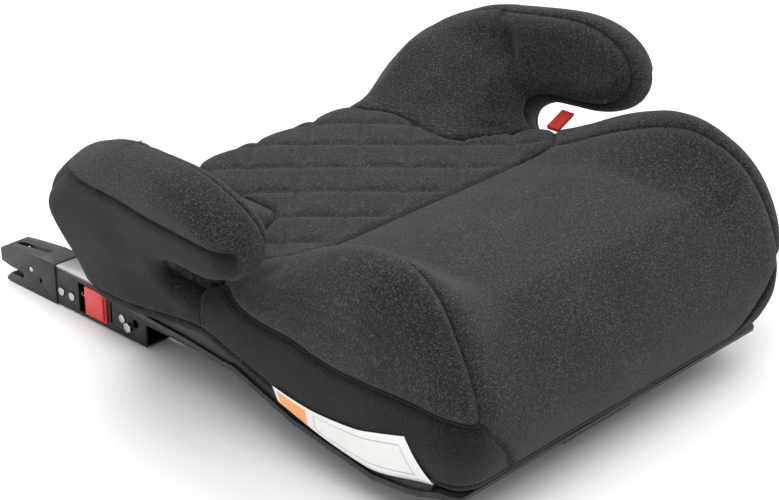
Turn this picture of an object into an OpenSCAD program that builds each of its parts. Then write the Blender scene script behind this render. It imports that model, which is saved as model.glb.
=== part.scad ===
// Backless booster seat with two sliding latch arms.
// The seat faces -Y, +X is to the right seen from the front, and Z = 0 is the surface it rests on.
// "right" pieces lie at +X and "left" pieces are their mirror images.

/* [Overall] */
// Length from the front of the nose to the tips of the latch arms
overall_len = 622; // [560:1:746]
// Depth of the cushion from the nose to the rear edge of the seat
seat_depth = 407; // [340:1:488]
// Width over the side walls at the front
seat_w = 410; // [370:1:492]
// Height of the front bolsters
crest_h = 200; // [175:1:240]
// Height over the armrests
arm_h = 250; // [215:1:300]

/* [Cushion] */
// Thickness of the padded cover
cover_t = 4; // [3:0.5:6]
// Thickness of the foam over the shell
foam_t = 18; // [12:1:24]
// Half width of the centre panel between the side seams
panel_half_w = 155; // [135:1:165]
// Height of the shell rim that shows below the cover
rim_h = 5; // [3:0.5:8]
// Height of the sewn hem
hem_h = 8; // [6:0.5:12]
// Width of the piping
piping_w = 4; // [3:0.5:6]

/* [Shell] */
// Wall of the moulded shell
shell_wall = 2.6; // [2:0.2:4]
// Wall of the bottom tray
tray_wall = 2.5; // [2:0.1:3.5]
// Height of the feet under the tray
foot_h = 4; // [3:0.5:6]
// Radius of a screw shank
screw_r = 2; // [1.5:0.1:2.5]

/* [Armrests] */
// Thickness of an armrest over its covers
arm_t = 40; // [34:1:48]
// Outward lean of an armrest in degrees
arm_lean = 14; // [8:0.5:16]
// Thickness of the moulded core in an armrest
core_t = 14; // [10:1:16]

/* [Latch arms] */
// Distance between the centres of the two latch arms
latch_spacing = 280; // [276:1:284]
// Width of a latch arm
latch_w = 28; // [24:0.5:33.5]
// Height of the top of a latch arm
latch_top = 40; // [36:0.5:42]
// Wall of the steel latch arm
latch_wall = 2; // [1.5:0.1:2.6]
// Running clearance between sliding pieces
slide_gap = 0.3; // [0.2:0.05:0.4]
// Radius of the anchor bar seat in the jaw
jaw_r = 3.2; // [3:0.05:3.6]
// Travel of the latch arms
latch_travel = 100; // [70:1:105]
// Radius of the hook's pivot pin
pivot_r = 2.5; // [2:0.1:3]
// Radial clearance of the hook on its pin
pivot_gap = 0.05; // [0.02:0.01:0.1]
// Radius of the tube that joins the two arms
tube_r = 8; // [6:0.5:9]

/* [Hidden] */
$fn = 48;
fabric = "#33343a";
fabric_dark = "#26272b";
black_plastic = "#17171a";
steel_dark = "#2b2724";
steel_light = "#8f9094";
red_plastic = "#d8281f";
foam_grey = "#c9c9c4";

y_front = -overall_len / 2;
y_tip = overall_len / 2;
panel_seam = 54.5;
arm_base_z = 70;
arm_x = seat_w / 2 - 17;
arm_len_z = (arm_h - arm_base_z - sin(arm_lean) * arm_t / 2) / cos(arm_lean);
big = 1000;
screw_head_r = screw_r * 2;
boss_r = screw_r + 4;

// Side outlines: percent of the seat depth, percent of the crest height.
centre_pts = [
    [4.2, 17], [1.5, 30], [0, 44], [0.7, 56], [3.4, 66], [8.6, 75], [16, 81.5], [26, 85],
    [36, 84], [46, 80], [54.5, 75.5], [67, 77], [84, 80], [100, 82], [103.4, 75],
    [108, 55], [111, 37.5]
];
crest_pts = [
    [4.2, 17], [1.5, 30], [0, 44], [0.7, 56], [3, 66], [6.6, 77.5], [10.6, 87], [16, 95],
    [21, 99], [26.3, 100], [31.4, 98.5], [36.6, 95.5], [42, 90.5], [50, 83], [55.3, 77],
    [61, 72.5], [69, 70], [108, 55], [111, 37.5]
];
// Lower edge of the shell: percent of the seat depth, millimetres.
rim_pts = [
    [-20, 32], [4, 32], [8, 36], [15, 31], [23, 28], [33, 34], [44, 41], [53, 52], [61, 62],
    [76, 62], [87, 60], [96, 60], [110, 75], [130, 78]
];
// Armrest outline: percent of the seat depth, percent of the armrest height above its base.
arm_pts = [
    [70, 42.5], [70.2, 2.5], [100, 2.5], [103.4, 12], [106.2, 23], [108.2, 35], [109, 48], [108.4, 59],
    [106.4, 67.5], [103.6, 75], [98, 84.5], [89.4, 93], [80.3, 97.5], [71.7, 99.6], [65, 100],
    [60, 98.5], [54.5, 94], [50.4, 88.5], [47.4, 81], [46.2, 75], [46.7, 66.5], [48.9, 59],
    [53, 56.5], [61, 59.5], [66.5, 61.5], [70, 57.5], [71.4, 50]
];

function unit(v) = v / norm(v);
function y_at(pc) = y_front + seat_depth * pc / 100;
function side_line(pts) = [for (p = pts) [y_at(p[0]), crest_h * p[1] / 100]];
// Moves every corner of an anticlockwise outline inwards by d.
function inset(p, d) = [
    for (i = [0:len(p) - 1])
        let (
            a = p[(i + len(p) - 1) % len(p)],
            b = p[i],
            c = p[(i + 1) % len(p)],
            u = unit(b - a),
            v = unit(c - b),
            n = [-u[1], u[0]],
            m = [-v[1], v[0]]
        )
        b + (n + m) * d / (1 + n * m)
];
function arc(c, r, a0, a1, n) = [
    for (i = [0:n]) c + r * [cos(a0 + (a1 - a0) * i / n), sin(a0 + (a1 - a0) * i / n)]
];
function flip_x(pts) = [for (i = [len(pts) - 1:-1:0]) [-pts[i][0], pts[i][1]]];

// Plan of the seat: right half, then its mirror image.
corner_r = 55;
rear_r = 22;
side_rear_in = 18;
plan_right = concat(
    arc([seat_w / 2 - corner_r, y_front + corner_r], corner_r, -90, 0, 8),
    [[seat_w / 2, y_at(25)], [seat_w / 2 - 1, y_at(64)]],
    arc([seat_w / 2 - side_rear_in - rear_r, y_at(111) - rear_r], rear_r, 0, 90, 5)
);
plan = concat(plan_right, flip_x(plan_right));

// Extrudes an outline given as [y, z] along X.
module along_x(pts, x0, x1) {
    translate([x0, 0, 0]) rotate([90, 0, 90]) linear_extrude(x1 - x0) polygon(pts);
}

module prism_y(pts, y0, y1) {
    translate([0, y1, 0]) rotate([90, 0, 0]) linear_extrude(y1 - y0) polygon(pts);
}

module box(a, b) {
    translate(a) cube(b - a);
}

module column(at, r, h) {
    translate(at) cylinder(r = r, h = h);
}

function profile(pts) = concat([[y_at(111), -60], side_line(pts)[len(pts) - 1]],
    [for (i = [len(pts) - 2:-1:0]) side_line(pts)[i]], [[y_at(4.2), -60]]);

// Volume under a side outline, inside the plan, between two widths.
module volume(pts, d_plan, d_top, x0, x1) {
    intersection() {
        translate([0, 0, -50]) linear_extrude(400) polygon(inset(plan, d_plan));
        along_x(inset(profile(pts), d_top), x0, x1);
    }
}

// Everything above the rim line, raised by dz.
module above_rim(dz) {
    along_x(
        concat(
            [for (p = rim_pts) [y_at(p[0]), p[1] + dz]],
            [[y_at(130), big / 2], [y_at(-20), big / 2]]
        ),
        -big / 2, big / 2
    );
}

// Sets the leaning armrest frame: x across it, z up it.
module arm_frame() {
    translate([arm_x, 0, arm_base_z]) rotate([0, arm_lean, 0]) children();
}

function arm_outline() = [for (p = arm_pts) [y_at(p[0]), arm_len_z * p[1] / 100]];

module arm_slab(d, x0, x1) {
    arm_frame() along_x(inset(arm_outline(), -d), x0, x1);
}

band_t = 3;
core_inset = 11;
shell_in = cover_t + foam_t;
foam_fit = 0.1;
rear_zone_at = 71.6;

module arm_envelope() {
    arm_slab(0, -arm_t / 2, arm_t / 2);
}

module shell_block(d) {
    volume(centre_pts, cover_t + d, shell_in + d, -seat_w / 2, seat_w / 2);
}

module sides() {
    children();
    mirror([1, 0, 0]) children();
}

boss_places = [for (x = [-95, 95], y = [y_at(26), y_at(94)]) [x, y]];
tray_floor_top = foot_h + tray_wall;

// Shell: moulded deck and walls, rim flange, screw bosses and armrest cores.
module base_shell() {
    color(black_plastic) difference() {
        union() {
            intersection() {
                difference() {
                    shell_block(0);
                    shell_block(shell_wall);
                }
                above_rim(0);
            }
            intersection() {
                difference() {
                    volume(centre_pts, 1, 1, -seat_w / 2, seat_w / 2);
                    volume(centre_pts, shell_in + 4, shell_in + 4, -seat_w / 2, seat_w / 2);
                }
                difference() {
                    above_rim(0);
                    above_rim(rim_h);
                }
            }
            intersection() {
                union() {
                    for (p = boss_places) {
                        column([p[0], p[1], tray_floor_top], boss_r, crest_h);
                    }
                    for (y = hanger_y) {
                        sides() column([latch_x, y, guide_top], boss_r, crest_h);
                    }
                }
                shell_block(0);
            }
            sides() intersection() {
                arm_slab(-core_inset, -core_t / 2, core_t / 2);
                above_rim(rim_h);
            }
        }
        for (p = boss_places) {
            column([p[0], p[1], foot_h - 1], screw_r, 40);
        }
        for (y = hanger_y) {
            sides() column([latch_x, y, guide_top - 1], screw_r, 25);
        }
    }
}

// Latch arm places.
latch_x = latch_spacing / 2;
latch_bottom = 2;
window_z0 = 5;
window_z1 = latch_top - 6;
guide_half_w = latch_w / 2 + 8;
rail_half_w = latch_w / 2 + 3;
rail_t = 4;
rail_top = latch_top + rail_t;
guide_top = rail_top + slide_gap + 6;
guide_low = window_z1 + 0.5;
guide_rear_y = min(y_at(101), y_tip - 211);
rail_grip = 120;
arm_front_y = guide_rear_y - rail_grip;
box_rear_y = y_tip - 81;
rail_rear_y = guide_rear_y - 5;
tube_in = 15;
tube_y = arm_front_y + tube_in;
tube_z = 16;

// Length adjuster places. The arms travel as far as the room behind the handle lets them.
stop_gap = 2;
pawl_len = 12;
handle_len = 34;
handle_gap = 9;
nose_room = 25;
front_room = nose_room + handle_len + handle_gap + tray_wall + stop_gap;
arm_travel = min(latch_travel, (tube_y - tube_r - stop_gap - pawl_len - front_room - y_front) / 2);
lock_y = tube_y - tube_r - arm_travel - stop_gap - pawl_len;
guide_front_y = arm_front_y - arm_travel - 4;
hanger_y = [guide_front_y + 20, guide_rear_y - 20];
rack_w = 16;
rack_t = 4;
rack_z = 14;
rack_len = tube_y - tube_r - lock_y + 1;
notch_pitch = 10;
notch_len = 4;
rod_w = 14;
rod_t = 3;
rod_z = 24;

// Tray: pan with feet, screwed to the shell.
tray_half_w = latch_x - guide_half_w - 0.5;
tray_y0 = min(y_at(19.5), lock_y - arm_travel - stop_gap - tray_wall);
tray_y1 = guide_rear_y;
tray_top = 60;
foot_l = 60;
foot_w = 26;
foot_in = 4;
rib_x = rack_w / 2 + 7;
rib_top = 30;

module bottom_tray() {
    color(black_plastic) difference() {
        union() {
            box([-tray_half_w, tray_y0, foot_h], [tray_half_w, tray_y1, tray_top]);
            for (
                x = [-tray_half_w + foot_in, tray_half_w - foot_in - foot_w],
                y = [tray_y0 + foot_in, tray_y1 - foot_in - foot_l]
            ) {
                box([x, y, 0], [x + foot_w, y + foot_l, foot_h]);
            }
        }
        difference() {
            box(
                [-tray_half_w + tray_wall, tray_y0 + tray_wall, tray_floor_top],
                [tray_half_w - tray_wall, tray_y1 - tray_wall, tray_top + 1]
            );
            for (x = [-rib_x, rib_x]) {
                box(
                    [x - tray_wall / 2, lock_y - pawl_len, foot_h],
                    [x + tray_wall / 2, lock_y + pawl_len, rib_top]
                );
            }
        }
        for (p = boss_places) {
            column([p[0], p[1], foot_h - 1], screw_r + 0.3, 10);
            column([p[0], p[1], -1], screw_head_r + 0.3, foot_h + 1);
        }
        box(
            [-big / 4, tube_y - arm_travel - tube_r - stop_gap, tube_z - tube_r - 1],
            [big / 4, tube_y + tube_r + stop_gap, tube_z + tube_r + 2]
        );
        box(
            [-rod_w / 2 - slide_gap, tray_y0 - 1, rod_z - slide_gap],
            [rod_w / 2 + slide_gap, tray_y0 + tray_wall + 1, rod_z + rod_t + slide_gap]
        );
    }
}

module tray_screws() {
    color(steel_light) for (p = boss_places) {
        column([p[0], p[1], foot_h - 1.6], screw_head_r, 1.6);
        column([p[0], p[1], foot_h - 1.6], screw_r, 30);
    }
}

module guide_screws() {
    color(steel_light) for (y = hanger_y) {
        sides() {
            column([latch_x, y, guide_top - 4], screw_r, 22);
            column([latch_x, y, guide_top - 4 - 1.6], screw_head_r, 1.6);
        }
    }
}

// Open-bottomed channel that the arm's rail slides in.
module guide_channel() {
    difference() {
        box(
            [latch_x - guide_half_w, guide_front_y, guide_low],
            [latch_x + guide_half_w, guide_rear_y, guide_top]
        );
        box(
            [latch_x - latch_w / 2 - slide_gap, guide_front_y - 1, guide_low - 1],
            [latch_x + latch_w / 2 + slide_gap, guide_rear_y + 1, latch_top + 1]
        );
        box(
            [latch_x - rail_half_w - slide_gap, guide_front_y - 1, latch_top - slide_gap],
            [latch_x + rail_half_w + slide_gap, guide_rear_y + 1, rail_top + slide_gap]
        );
        for (y = hanger_y) {
            column([latch_x, y, rail_top - 1], screw_head_r + 0.2, guide_top - 4 - rail_top + 1);
            column([latch_x, y, rail_top], screw_r, 20);
        }
    }
}

module guide_channel_right() {
    color(black_plastic) guide_channel();
}

module guide_channel_left() {
    mirror([1, 0, 0]) guide_channel_right();
}

// Behind this line the seat runs level from armrest to armrest.
module rear_zone() {
    box([-big / 4, y_at(rear_zone_at), -1], [big / 4, y_at(130), big]);
}

// Foam.
module seat_foam() {
    color(foam_grey) difference() {
        intersection() {
            volume(centre_pts, cover_t + foam_fit, cover_t, -seat_w / 2, seat_w / 2);
            above_rim(rim_h);
            union() {
                box([-panel_half_w, y_front, -1], [panel_half_w, y_at(115), big]);
                rear_zone();
            }
        }
        shell_block(0);
        sides() arm_envelope();
        sides() arm_wedge(0);
    }
}

// Part of a bolster that lies below the centre panel, next to the seam.
module bolster_root() {
    intersection() {
        volume(crest_pts, cover_t + foam_fit, cover_t, panel_half_w, panel_half_w + cover_t + 1);
        volume(centre_pts, cover_t, cover_t, 0, seat_w / 2);
    }
}

module bolster_foam() {
    color(foam_grey) difference() {
        intersection() {
            union() {
                volume(crest_pts, cover_t + foam_fit, cover_t, panel_half_w + cover_t, seat_w / 2);
                bolster_root();
            }
            above_rim(rim_h);
        }
        shell_block(0);
        arm_envelope();
        rear_zone();
    }
}

module bolster_foam_right() {
    bolster_foam();
}

module bolster_foam_left() {
    mirror([1, 0, 0]) bolster_foam();
}

// Slope between the seat and the inner face of an armrest, drawn in from that face.
wedge_low_x = panel_half_w - 12;
wedge_z0 = crest_h * 0.74;
wedge_top_z = arm_h * 0.86;
wedge_root = 1;

function arm_inner_x(z) = arm_x - arm_t / 2 / cos(arm_lean) + (z - arm_base_z) * tan(arm_lean);

module arm_wedge(d) {
    reach = d > 0 ? cover_t + 2 : wedge_root;
    top_z = wedge_top_z - 2 * d;
    prism_y(
        [
            [wedge_low_x + 2 * d, wedge_z0],
            [arm_inner_x(wedge_z0) + reach, wedge_z0],
            [arm_inner_x(top_z) + reach, top_z],
            [arm_inner_x(top_z), top_z]
        ],
        y_at(rear_zone_at) + d, y_at(97) - d
    );
}

module armrest_foam() {
    color(foam_grey) difference() {
        union() {
            arm_slab(-band_t, -arm_t / 2 + cover_t, arm_t / 2 - cover_t);
            arm_wedge(cover_t);
        }
        arm_slab(-core_inset, -core_t / 2, core_t / 2);
        shell_block(0);
    }
}

module armrest_foam_right() {
    armrest_foam();
}

module armrest_foam_left() {
    mirror([1, 0, 0]) armrest_foam();
}

// Cover panels.
module hem_line(d) {
    above_rim(rim_h + hem_h + d);
}

module front_cover() {
    color(fabric) difference() {
        intersection() {
            volume(centre_pts, 0, 0, -panel_half_w, panel_half_w);
            hem_line(0);
            box([-big / 4, y_front - 1, -1], [big / 4, y_at(panel_seam), big]);
        }
        volume(centre_pts, cover_t, cover_t, -seat_w / 2, seat_w / 2);
    }
}

module quilted_cover() {
    color(fabric) difference() {
        intersection() {
            volume(centre_pts, 0, 0, -seat_w / 2, seat_w / 2);
            box([-big / 4, y_at(panel_seam), crest_h * 0.6], [big / 4, y_at(115), big]);
            union() {
                box([-panel_half_w, y_front, -1], [panel_half_w, y_at(115), big]);
                rear_zone();
            }
        }
        volume(centre_pts, cover_t, cover_t, -seat_w / 2, seat_w / 2);
        sides() arm_envelope();
        sides() arm_wedge(0);
    }
}

module rear_skirt() {
    color(fabric_dark) difference() {
        intersection() {
            volume(centre_pts, 0, 0, -seat_w / 2, seat_w / 2);
            hem_line(0);
            box([-big / 4, y_at(104.5), 0], [big / 4, y_at(115), crest_h * 0.6]);
        }
        volume(centre_pts, cover_t, cover_t, -seat_w / 2, seat_w / 2);
        sides() arm_envelope();
    }
}

// Line of the piping down the side: percent of the seat depth, percent of the crest height.
piping_pts = [
    [4.5, 40], [6, 52], [12, 57.5], [20, 58], [30, 57.5], [40, 58], [50, 61], [56, 65], [62, 71]
];

module side_skin() {
    difference() {
        intersection() {
            volume(crest_pts, 0, 0, panel_half_w, seat_w / 2);
            hem_line(0);
        }
        volume(crest_pts, cover_t, cover_t, panel_half_w + cover_t, seat_w / 2);
        intersection() {
            volume(crest_pts, cover_t, cover_t, 0, panel_half_w + cover_t + 1);
            volume(centre_pts, cover_t, cover_t, 0, seat_w / 2);
        }
        arm_envelope();
        rear_zone();
    }
}

module above_piping(x0) {
    along_x(
        concat(
            [[y_at(-20), 30]],
            side_line(piping_pts),
            [[y_at(120), crest_h * 0.71], [y_at(120), big / 2], [y_at(-20), big / 2]]
        ),
        x0, big / 2
    );
}

module bolster_cover() {
    color(fabric) intersection() {
        side_skin();
        above_piping(0);
    }
}

module side_skirt() {
    color(fabric_dark) difference() {
        side_skin();
        above_piping(0);
    }
}

module bolster_cover_right() {
    bolster_cover();
}

module bolster_cover_left() {
    mirror([1, 0, 0]) bolster_cover();
}

module side_skirt_right() {
    side_skirt();
}

module side_skirt_left() {
    mirror([1, 0, 0]) side_skirt();
}

module hem_binding() {
    color(fabric_dark) difference() {
        intersection() {
            volume(centre_pts, 0, 0, -seat_w / 2, seat_w / 2);
            above_rim(rim_h);
        }
        hem_line(0);
        volume(centre_pts, cover_t, cover_t, -seat_w / 2, seat_w / 2);
        sides() arm_envelope();
    }
}

// Strip that stands on the side wall, bounded by an outline in side view.
module on_side(t, pts) {
    intersection() {
        difference() {
            translate([0, 0, -50]) linear_extrude(400) polygon(inset(plan, -t));
            translate([0, 0, -60]) linear_extrude(420) polygon(plan);
        }
        along_x(pts, panel_half_w, big / 2);
    }
}

module piping() {
    line = side_line(piping_pts);
    n = len(line);
    on_side(
        piping_w * 0.75,
        concat(
            [for (p = line) p - [0, piping_w / 2]],
            [for (i = [n - 1:-1:0]) line[i] + [0, piping_w / 2]]
        )
    );
}

module piping_right() {
    color(black_plastic) piping();
}

module piping_left() {
    mirror([1, 0, 0]) piping_right();
}

label_pts = [[y_at(5), 47], [y_at(38.5), 53], [y_at(37.5), 70], [y_at(8), 90]];

module side_label() {
    color("white") mirror([1, 0, 0]) intersection() {
        on_side(0.8, label_pts);
        hem_line(0.5);
    }
}

module armrest_outer_cover() {
    color(fabric) difference() {
        arm_slab(-band_t, arm_t / 2 - cover_t, arm_t / 2);
        shell_block(0);
    }
}

module armrest_inner_cover() {
    color(fabric) difference() {
        union() {
            arm_slab(-band_t, -arm_t / 2, -arm_t / 2 + cover_t);
            arm_wedge(0);
        }
        arm_wedge(cover_t);
        shell_block(0);
        arm_slab(0, -arm_t / 2 + cover_t, arm_t / 2);
    }
}

module armrest_band() {
    color(fabric) difference() {
        arm_slab(0, -arm_t / 2, arm_t / 2);
        arm_slab(-band_t, -arm_t, arm_t);
        shell_block(0);
        arm_wedge(0);
    }
}

module armrest_outer_cover_right() {
    armrest_outer_cover();
}

module armrest_outer_cover_left() {
    mirror([1, 0, 0]) armrest_outer_cover();
}

module armrest_inner_cover_right() {
    armrest_inner_cover();
}

module armrest_inner_cover_left() {
    mirror([1, 0, 0]) armrest_inner_cover();
}

module armrest_band_right() {
    armrest_band();
}

module armrest_band_left() {
    mirror([1, 0, 0]) armrest_band();
}

// Belt guide: short strip of webbing that leans out over the side seam.
tag_w = 12;
tag_h = 22;
tag_t = 2.4;
tag_lean = 30;
tag_at = 62;
tag_in = 9;
tag_z = crest_h * 0.723 + tag_t * sin(tag_lean);

module belt_guide() {
    color(red_plastic) translate([seat_w / 2 - tag_in, y_at(tag_at), tag_z])
        rotate([0, tag_lean, 0]) cube([tag_t, tag_w, tag_h]);
}

module belt_guide_right() {
    belt_guide();
}

module belt_guide_left() {
    mirror([1, 0, 0]) belt_guide();
}

// Latch arm pieces, drawn for the right side.
window_y0 = y_tip - 153;
window_y1 = y_tip - 113;
slot_y = y_tip - 160;
slot_w = 2.5;
slot_z0 = 9;
slot_z1 = 30;
plate_t = 2;
outer_half = 5;

module latch_channel() {
    color(steel_dark) difference() {
        box(
            [latch_x - latch_w / 2, arm_front_y, latch_bottom],
            [latch_x + latch_w / 2, box_rear_y, latch_top - plate_t]
        );
        box(
            [latch_x - latch_w / 2 + latch_wall, arm_front_y - 1, latch_bottom + latch_wall],
            [latch_x + latch_w / 2 - latch_wall, box_rear_y + 1, latch_top + 1]
        );
        box([latch_x + outer_half, window_y0, window_z0], [latch_x + latch_w, window_y1, window_z1]);
        box([latch_x + outer_half, slot_y, slot_z0], [latch_x + latch_w, slot_y + slot_w, slot_z1]);
        for (r = rivet_places) {
            side_hole(r, rivet_r);
        }
        side_hole(hole_place, hole_r);
        side_hole(bolt_place, rivet_r);
        box(
            [latch_x - latch_w / 2 + latch_wall, arm_front_y - 1, -1],
            [latch_x + latch_w, y_tip - full_depth_len, cheek_z]
        );
    }
}

// Ahead of this length only the inner cheek and a strip of the outer one run on under the seat.
full_depth_len = 206;
cheek_z = window_z1 - 10;

// Cutter for a round hole through the outer wall of a latch arm.
module side_hole(at, r) {
    translate([latch_x + outer_half, at[0], at[1]]) rotate([0, 90, 0]) cylinder(r = r, h = latch_w);
}

rivet_r = 2.5;
hole_r = 4;
rivet_places = [[y_tip - 88, 16], [y_tip - 103, 16], [y_tip - 174, 19]];
bolt_place = [y_tip - 183, 14];
hole_place = [y_tip - 192, 20];

module latch_plate() {
    color(steel_light) box(
        [latch_x - latch_w / 2, arm_front_y, latch_top - plate_t],
        [latch_x + latch_w / 2, box_rear_y, latch_top]
    );
}

module slide_rail() {
    color(steel_light) box(
        [latch_x - rail_half_w, arm_front_y, latch_top],
        [latch_x + rail_half_w, rail_rear_y, rail_top]
    );
}

jaw_w = latch_w + 2;
seat_y = y_tip - 30;
seat_z = 13.5;
pivot_y = y_tip - 45;
pivot_z = 24;
hook_t = 5;
hook_slot = hook_t + 0.8;
shank_y = box_rear_y - 16;
small_hole_r = 2.2;

// Side outline of the jaw housing with the flared notch.
module jaw_outline() {
    difference() {
        polygon([
            [box_rear_y, 1], [y_tip - 14, 1], [y_tip - 7, 1.5], [y_tip - 7, 4], [y_tip, 19],
            [y_tip, latch_top - 9], [y_tip - 2, latch_top - 7], [y_tip - 20, latch_top - 4],
            [y_tip - 60, latch_top + 1], [box_rear_y, latch_top + 1]
        ]);
        translate([seat_y, seat_z]) circle(r = jaw_r);
        polygon([
            [seat_y, seat_z - jaw_r], [y_tip - 14, seat_z - jaw_r], [y_tip - 6, 3], [y_tip + 1, 3],
            [y_tip + 1, 19], [y_tip - 14, seat_z + jaw_r], [seat_y, seat_z + jaw_r]
        ]);
        translate([y_tip - 59, 17]) circle(r = small_hole_r);
    }
}

module jaw_housing() {
    color(black_plastic) difference() {
        union() {
            translate([latch_x - jaw_w / 2, 0, 0]) rotate([90, 0, 90])
                linear_extrude(jaw_w) jaw_outline();
            box(
                [latch_x - latch_w / 2 + latch_wall, shank_y, latch_bottom + latch_wall],
                [latch_x + latch_w / 2 - latch_wall, box_rear_y, latch_top - plate_t]
            );
        }
        box(
            [latch_x - hook_slot / 2, pivot_y - 12, seat_z - jaw_r - 4],
            [latch_x + hook_slot / 2, y_tip - 8, latch_top + 20]
        );
        translate([latch_x - latch_w, pivot_y, pivot_z]) rotate([0, 90, 0])
            cylinder(r = pivot_r, h = latch_w * 2);
        side_hole(rivet_places[0], rivet_r);
    }
}

hook_tip = [23, -16];
hook_elbow = [23, -3.5];
hook_arm_r = 2.5;
hook_open = 30;

// Hook, drawn closed and then swung open about its pin.
module hook() {
    color(steel_light) translate([latch_x, pivot_y, pivot_z]) rotate([hook_open, 0, 0])
        translate([-hook_t / 2, 0, 0]) rotate([90, 0, 90]) linear_extrude(hook_t) difference() {
            union() {
                circle(r = pivot_r + 2.5);
                polygon([
                    [0, -4], [hook_elbow[0], hook_elbow[1] - hook_arm_r],
                    [hook_elbow[0], hook_elbow[1] + hook_arm_r], [0, 4]
                ]);
                translate(hook_elbow) circle(r = hook_arm_r);
                polygon([
                    hook_tip + [-hook_arm_r, 0], hook_tip + [hook_arm_r, 3],
                    hook_elbow + [hook_arm_r, 0], hook_elbow + [-hook_arm_r, 0]
                ]);
            }
            circle(r = pivot_r + pivot_gap);
        }
}

module hook_right() {
    hook();
}

module hook_left() {
    mirror([1, 0, 0]) hook();
}

module hook_pins() {
    color(steel_light) sides() translate([latch_x - jaw_w / 2, pivot_y, pivot_z])
        rotate([0, 90, 0]) cylinder(r = pivot_r, h = jaw_w);
}

// Release slider: plate in the side window with a finger ridge and an indicator tab behind the slot.
slider_travel = 6;
slider_len = window_y1 - window_y0 - slider_travel - 4;
slider_fit = 0.5;
slider_back = 3;
slider_x1 = latch_x + latch_w / 2 + 1;
wall_in_x = latch_x + latch_w / 2 - latch_wall;
ridge_h = 2.5;
ridge_y = window_y0 + 2;
ridge_w = 5;

module release_slider() {
    color(red_plastic) {
        box(
            [wall_in_x - slider_back, window_y0 + slider_fit, window_z0 + slider_fit],
            [slider_x1, window_y0 + slider_fit + slider_len, window_z1 - slider_fit]
        );
        box(
            [slider_x1, ridge_y, window_z0 + 3],
            [slider_x1 + ridge_h, ridge_y + ridge_w, window_z1 - 3]
        );
        box(
            [wall_in_x - slider_back, slot_y - 3, slot_z0 - 1],
            [wall_in_x - slide_gap, window_y0 + slider_fit, min(slot_z1, window_z1 - slider_fit)]
        );
    }
}

module release_slider_right() {
    release_slider();
}

module release_slider_left() {
    mirror([1, 0, 0]) release_slider();
}

spring_r = 3;
wire_r = 0.5;
wall_gap = 1.3;

// Plain stand-in for a coil: one ring for each turn on a thin sleeve.
module coil(a, b, turns) {
    pitch = (b - a) / turns;
    difference() {
        union() {
            cylinder(r = spring_r - wire_r, h = b - a);
            for (i = [0:turns - 1]) {
                translate([0, 0, (i + 0.25) * pitch]) cylinder(r = spring_r, h = pitch / 2);
            }
        }
        translate([0, 0, -1]) cylinder(r = spring_r - wire_r * 2, h = b - a + 2);
    }
}

spring_y0 = window_y0 + slider_fit + slider_len;
spring_z = 20;

module release_spring_right() {
    color(steel_light) translate([wall_in_x - wall_gap - spring_r, spring_y0 + slide_gap, spring_z])
        rotate([-90, 0, 0]) coil(0, shank_y - spring_y0 - 2 * slide_gap, 6);
}

module release_spring_left() {
    mirror([1, 0, 0]) release_spring_right();
}

rivet_past = 1;
rivet_head_h = 1.2;
bolt_head_r = 5;
bolt_head_h = 3;
bolt_past = 3;

module rivet(at, r_head, flat) {
    translate([latch_x + latch_w / 2, at[0], at[1]]) rotate([0, 90, 0]) {
        cylinder(r = r_head, h = flat);
        translate([0, 0, -latch_wall - rivet_past]) cylinder(r = rivet_r, h = latch_wall + rivet_past);
    }
}

module latch_rivets() {
    color(steel_light) sides() {
        for (r = rivet_places) {
            rivet(r, rivet_r + 1.5, rivet_head_h);
        }
    }
}

module latch_bolts() {
    color(steel_light) sides() translate([latch_x + latch_w / 2, bolt_place[0], bolt_place[1]])
        rotate([0, 90, 0]) {
            cylinder(r = bolt_head_r, h = bolt_head_h, $fn = 6);
            translate([0, 0, -latch_wall - bolt_past]) cylinder(r = rivet_r, h = latch_wall + bolt_past);
        }
}

// Tube that joins the arms, with the notched bar that sets their length.
tube_wall = 1.5;

module cross_tube() {
    color(steel_light) translate([-latch_x + latch_w / 2, tube_y, tube_z]) rotate([0, 90, 0])
        difference() {
            cylinder(r = tube_r, h = latch_spacing - latch_w);
            translate([0, 0, -1]) cylinder(r = tube_r - tube_wall, h = latch_spacing - latch_w + 2);
        }
}

rack_front_y = tube_y - tube_r - rack_len;

module length_rack() {
    color(steel_dark) difference() {
        box([-rack_w / 2, rack_front_y, rack_z], [rack_w / 2, tube_y - tube_r, rack_z + rack_t]);
        for (i = [0:floor(rack_len / notch_pitch) - 1]) {
            translate([-rack_w, rack_front_y + notch_len + i * notch_pitch, rack_z + rack_t / 2])
                cube([rack_w * 2, notch_len, rack_t]);
        }
    }
}

// Length adjuster: handle under the front lip, rod and pawl.
handle_y = tray_y0 - handle_gap - handle_len;
handle_half_w = 45;
handle_low = rod_z - 12;
handle_high = rod_z + rod_t + 3;
handle_end = 10;
grip_w = 10;
grip_gap = 16;
spring_len = 40;

module adjuster_handle() {
    color(black_plastic) difference() {
        box([-handle_half_w, handle_y, handle_low], [handle_half_w, handle_y + handle_len, handle_high]);
        box(
            [-handle_half_w + handle_end, handle_y + grip_w, handle_low - 1],
            [handle_half_w - handle_end, handle_y + grip_w + grip_gap, handle_high + 1]
        );
    }
}

module adjuster_rod() {
    color(steel_light) box(
        [-rod_w / 2, handle_y + handle_len, rod_z],
        [rod_w / 2, lock_y, rod_z + rod_t]
    );
}

module lock_pawl() {
    color(steel_dark) box(
        [-rod_w / 2, lock_y, rack_z + rack_t + slide_gap],
        [rod_w / 2, lock_y + pawl_len, rod_z + rod_t]
    );
}

module adjuster_spring() {
    color(steel_light) translate([0, tray_y0 + tray_wall + 1, rod_z + rod_t + spring_r + slide_gap])
        rotate([-90, 0, 0]) coil(0, spring_len, 8);
}

module latch_channel_right() {
    latch_channel();
}

module latch_channel_left() {
    mirror([1, 0, 0]) latch_channel();
}

module latch_plate_right() {
    latch_plate();
}

module latch_plate_left() {
    mirror([1, 0, 0]) latch_plate();
}

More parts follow.
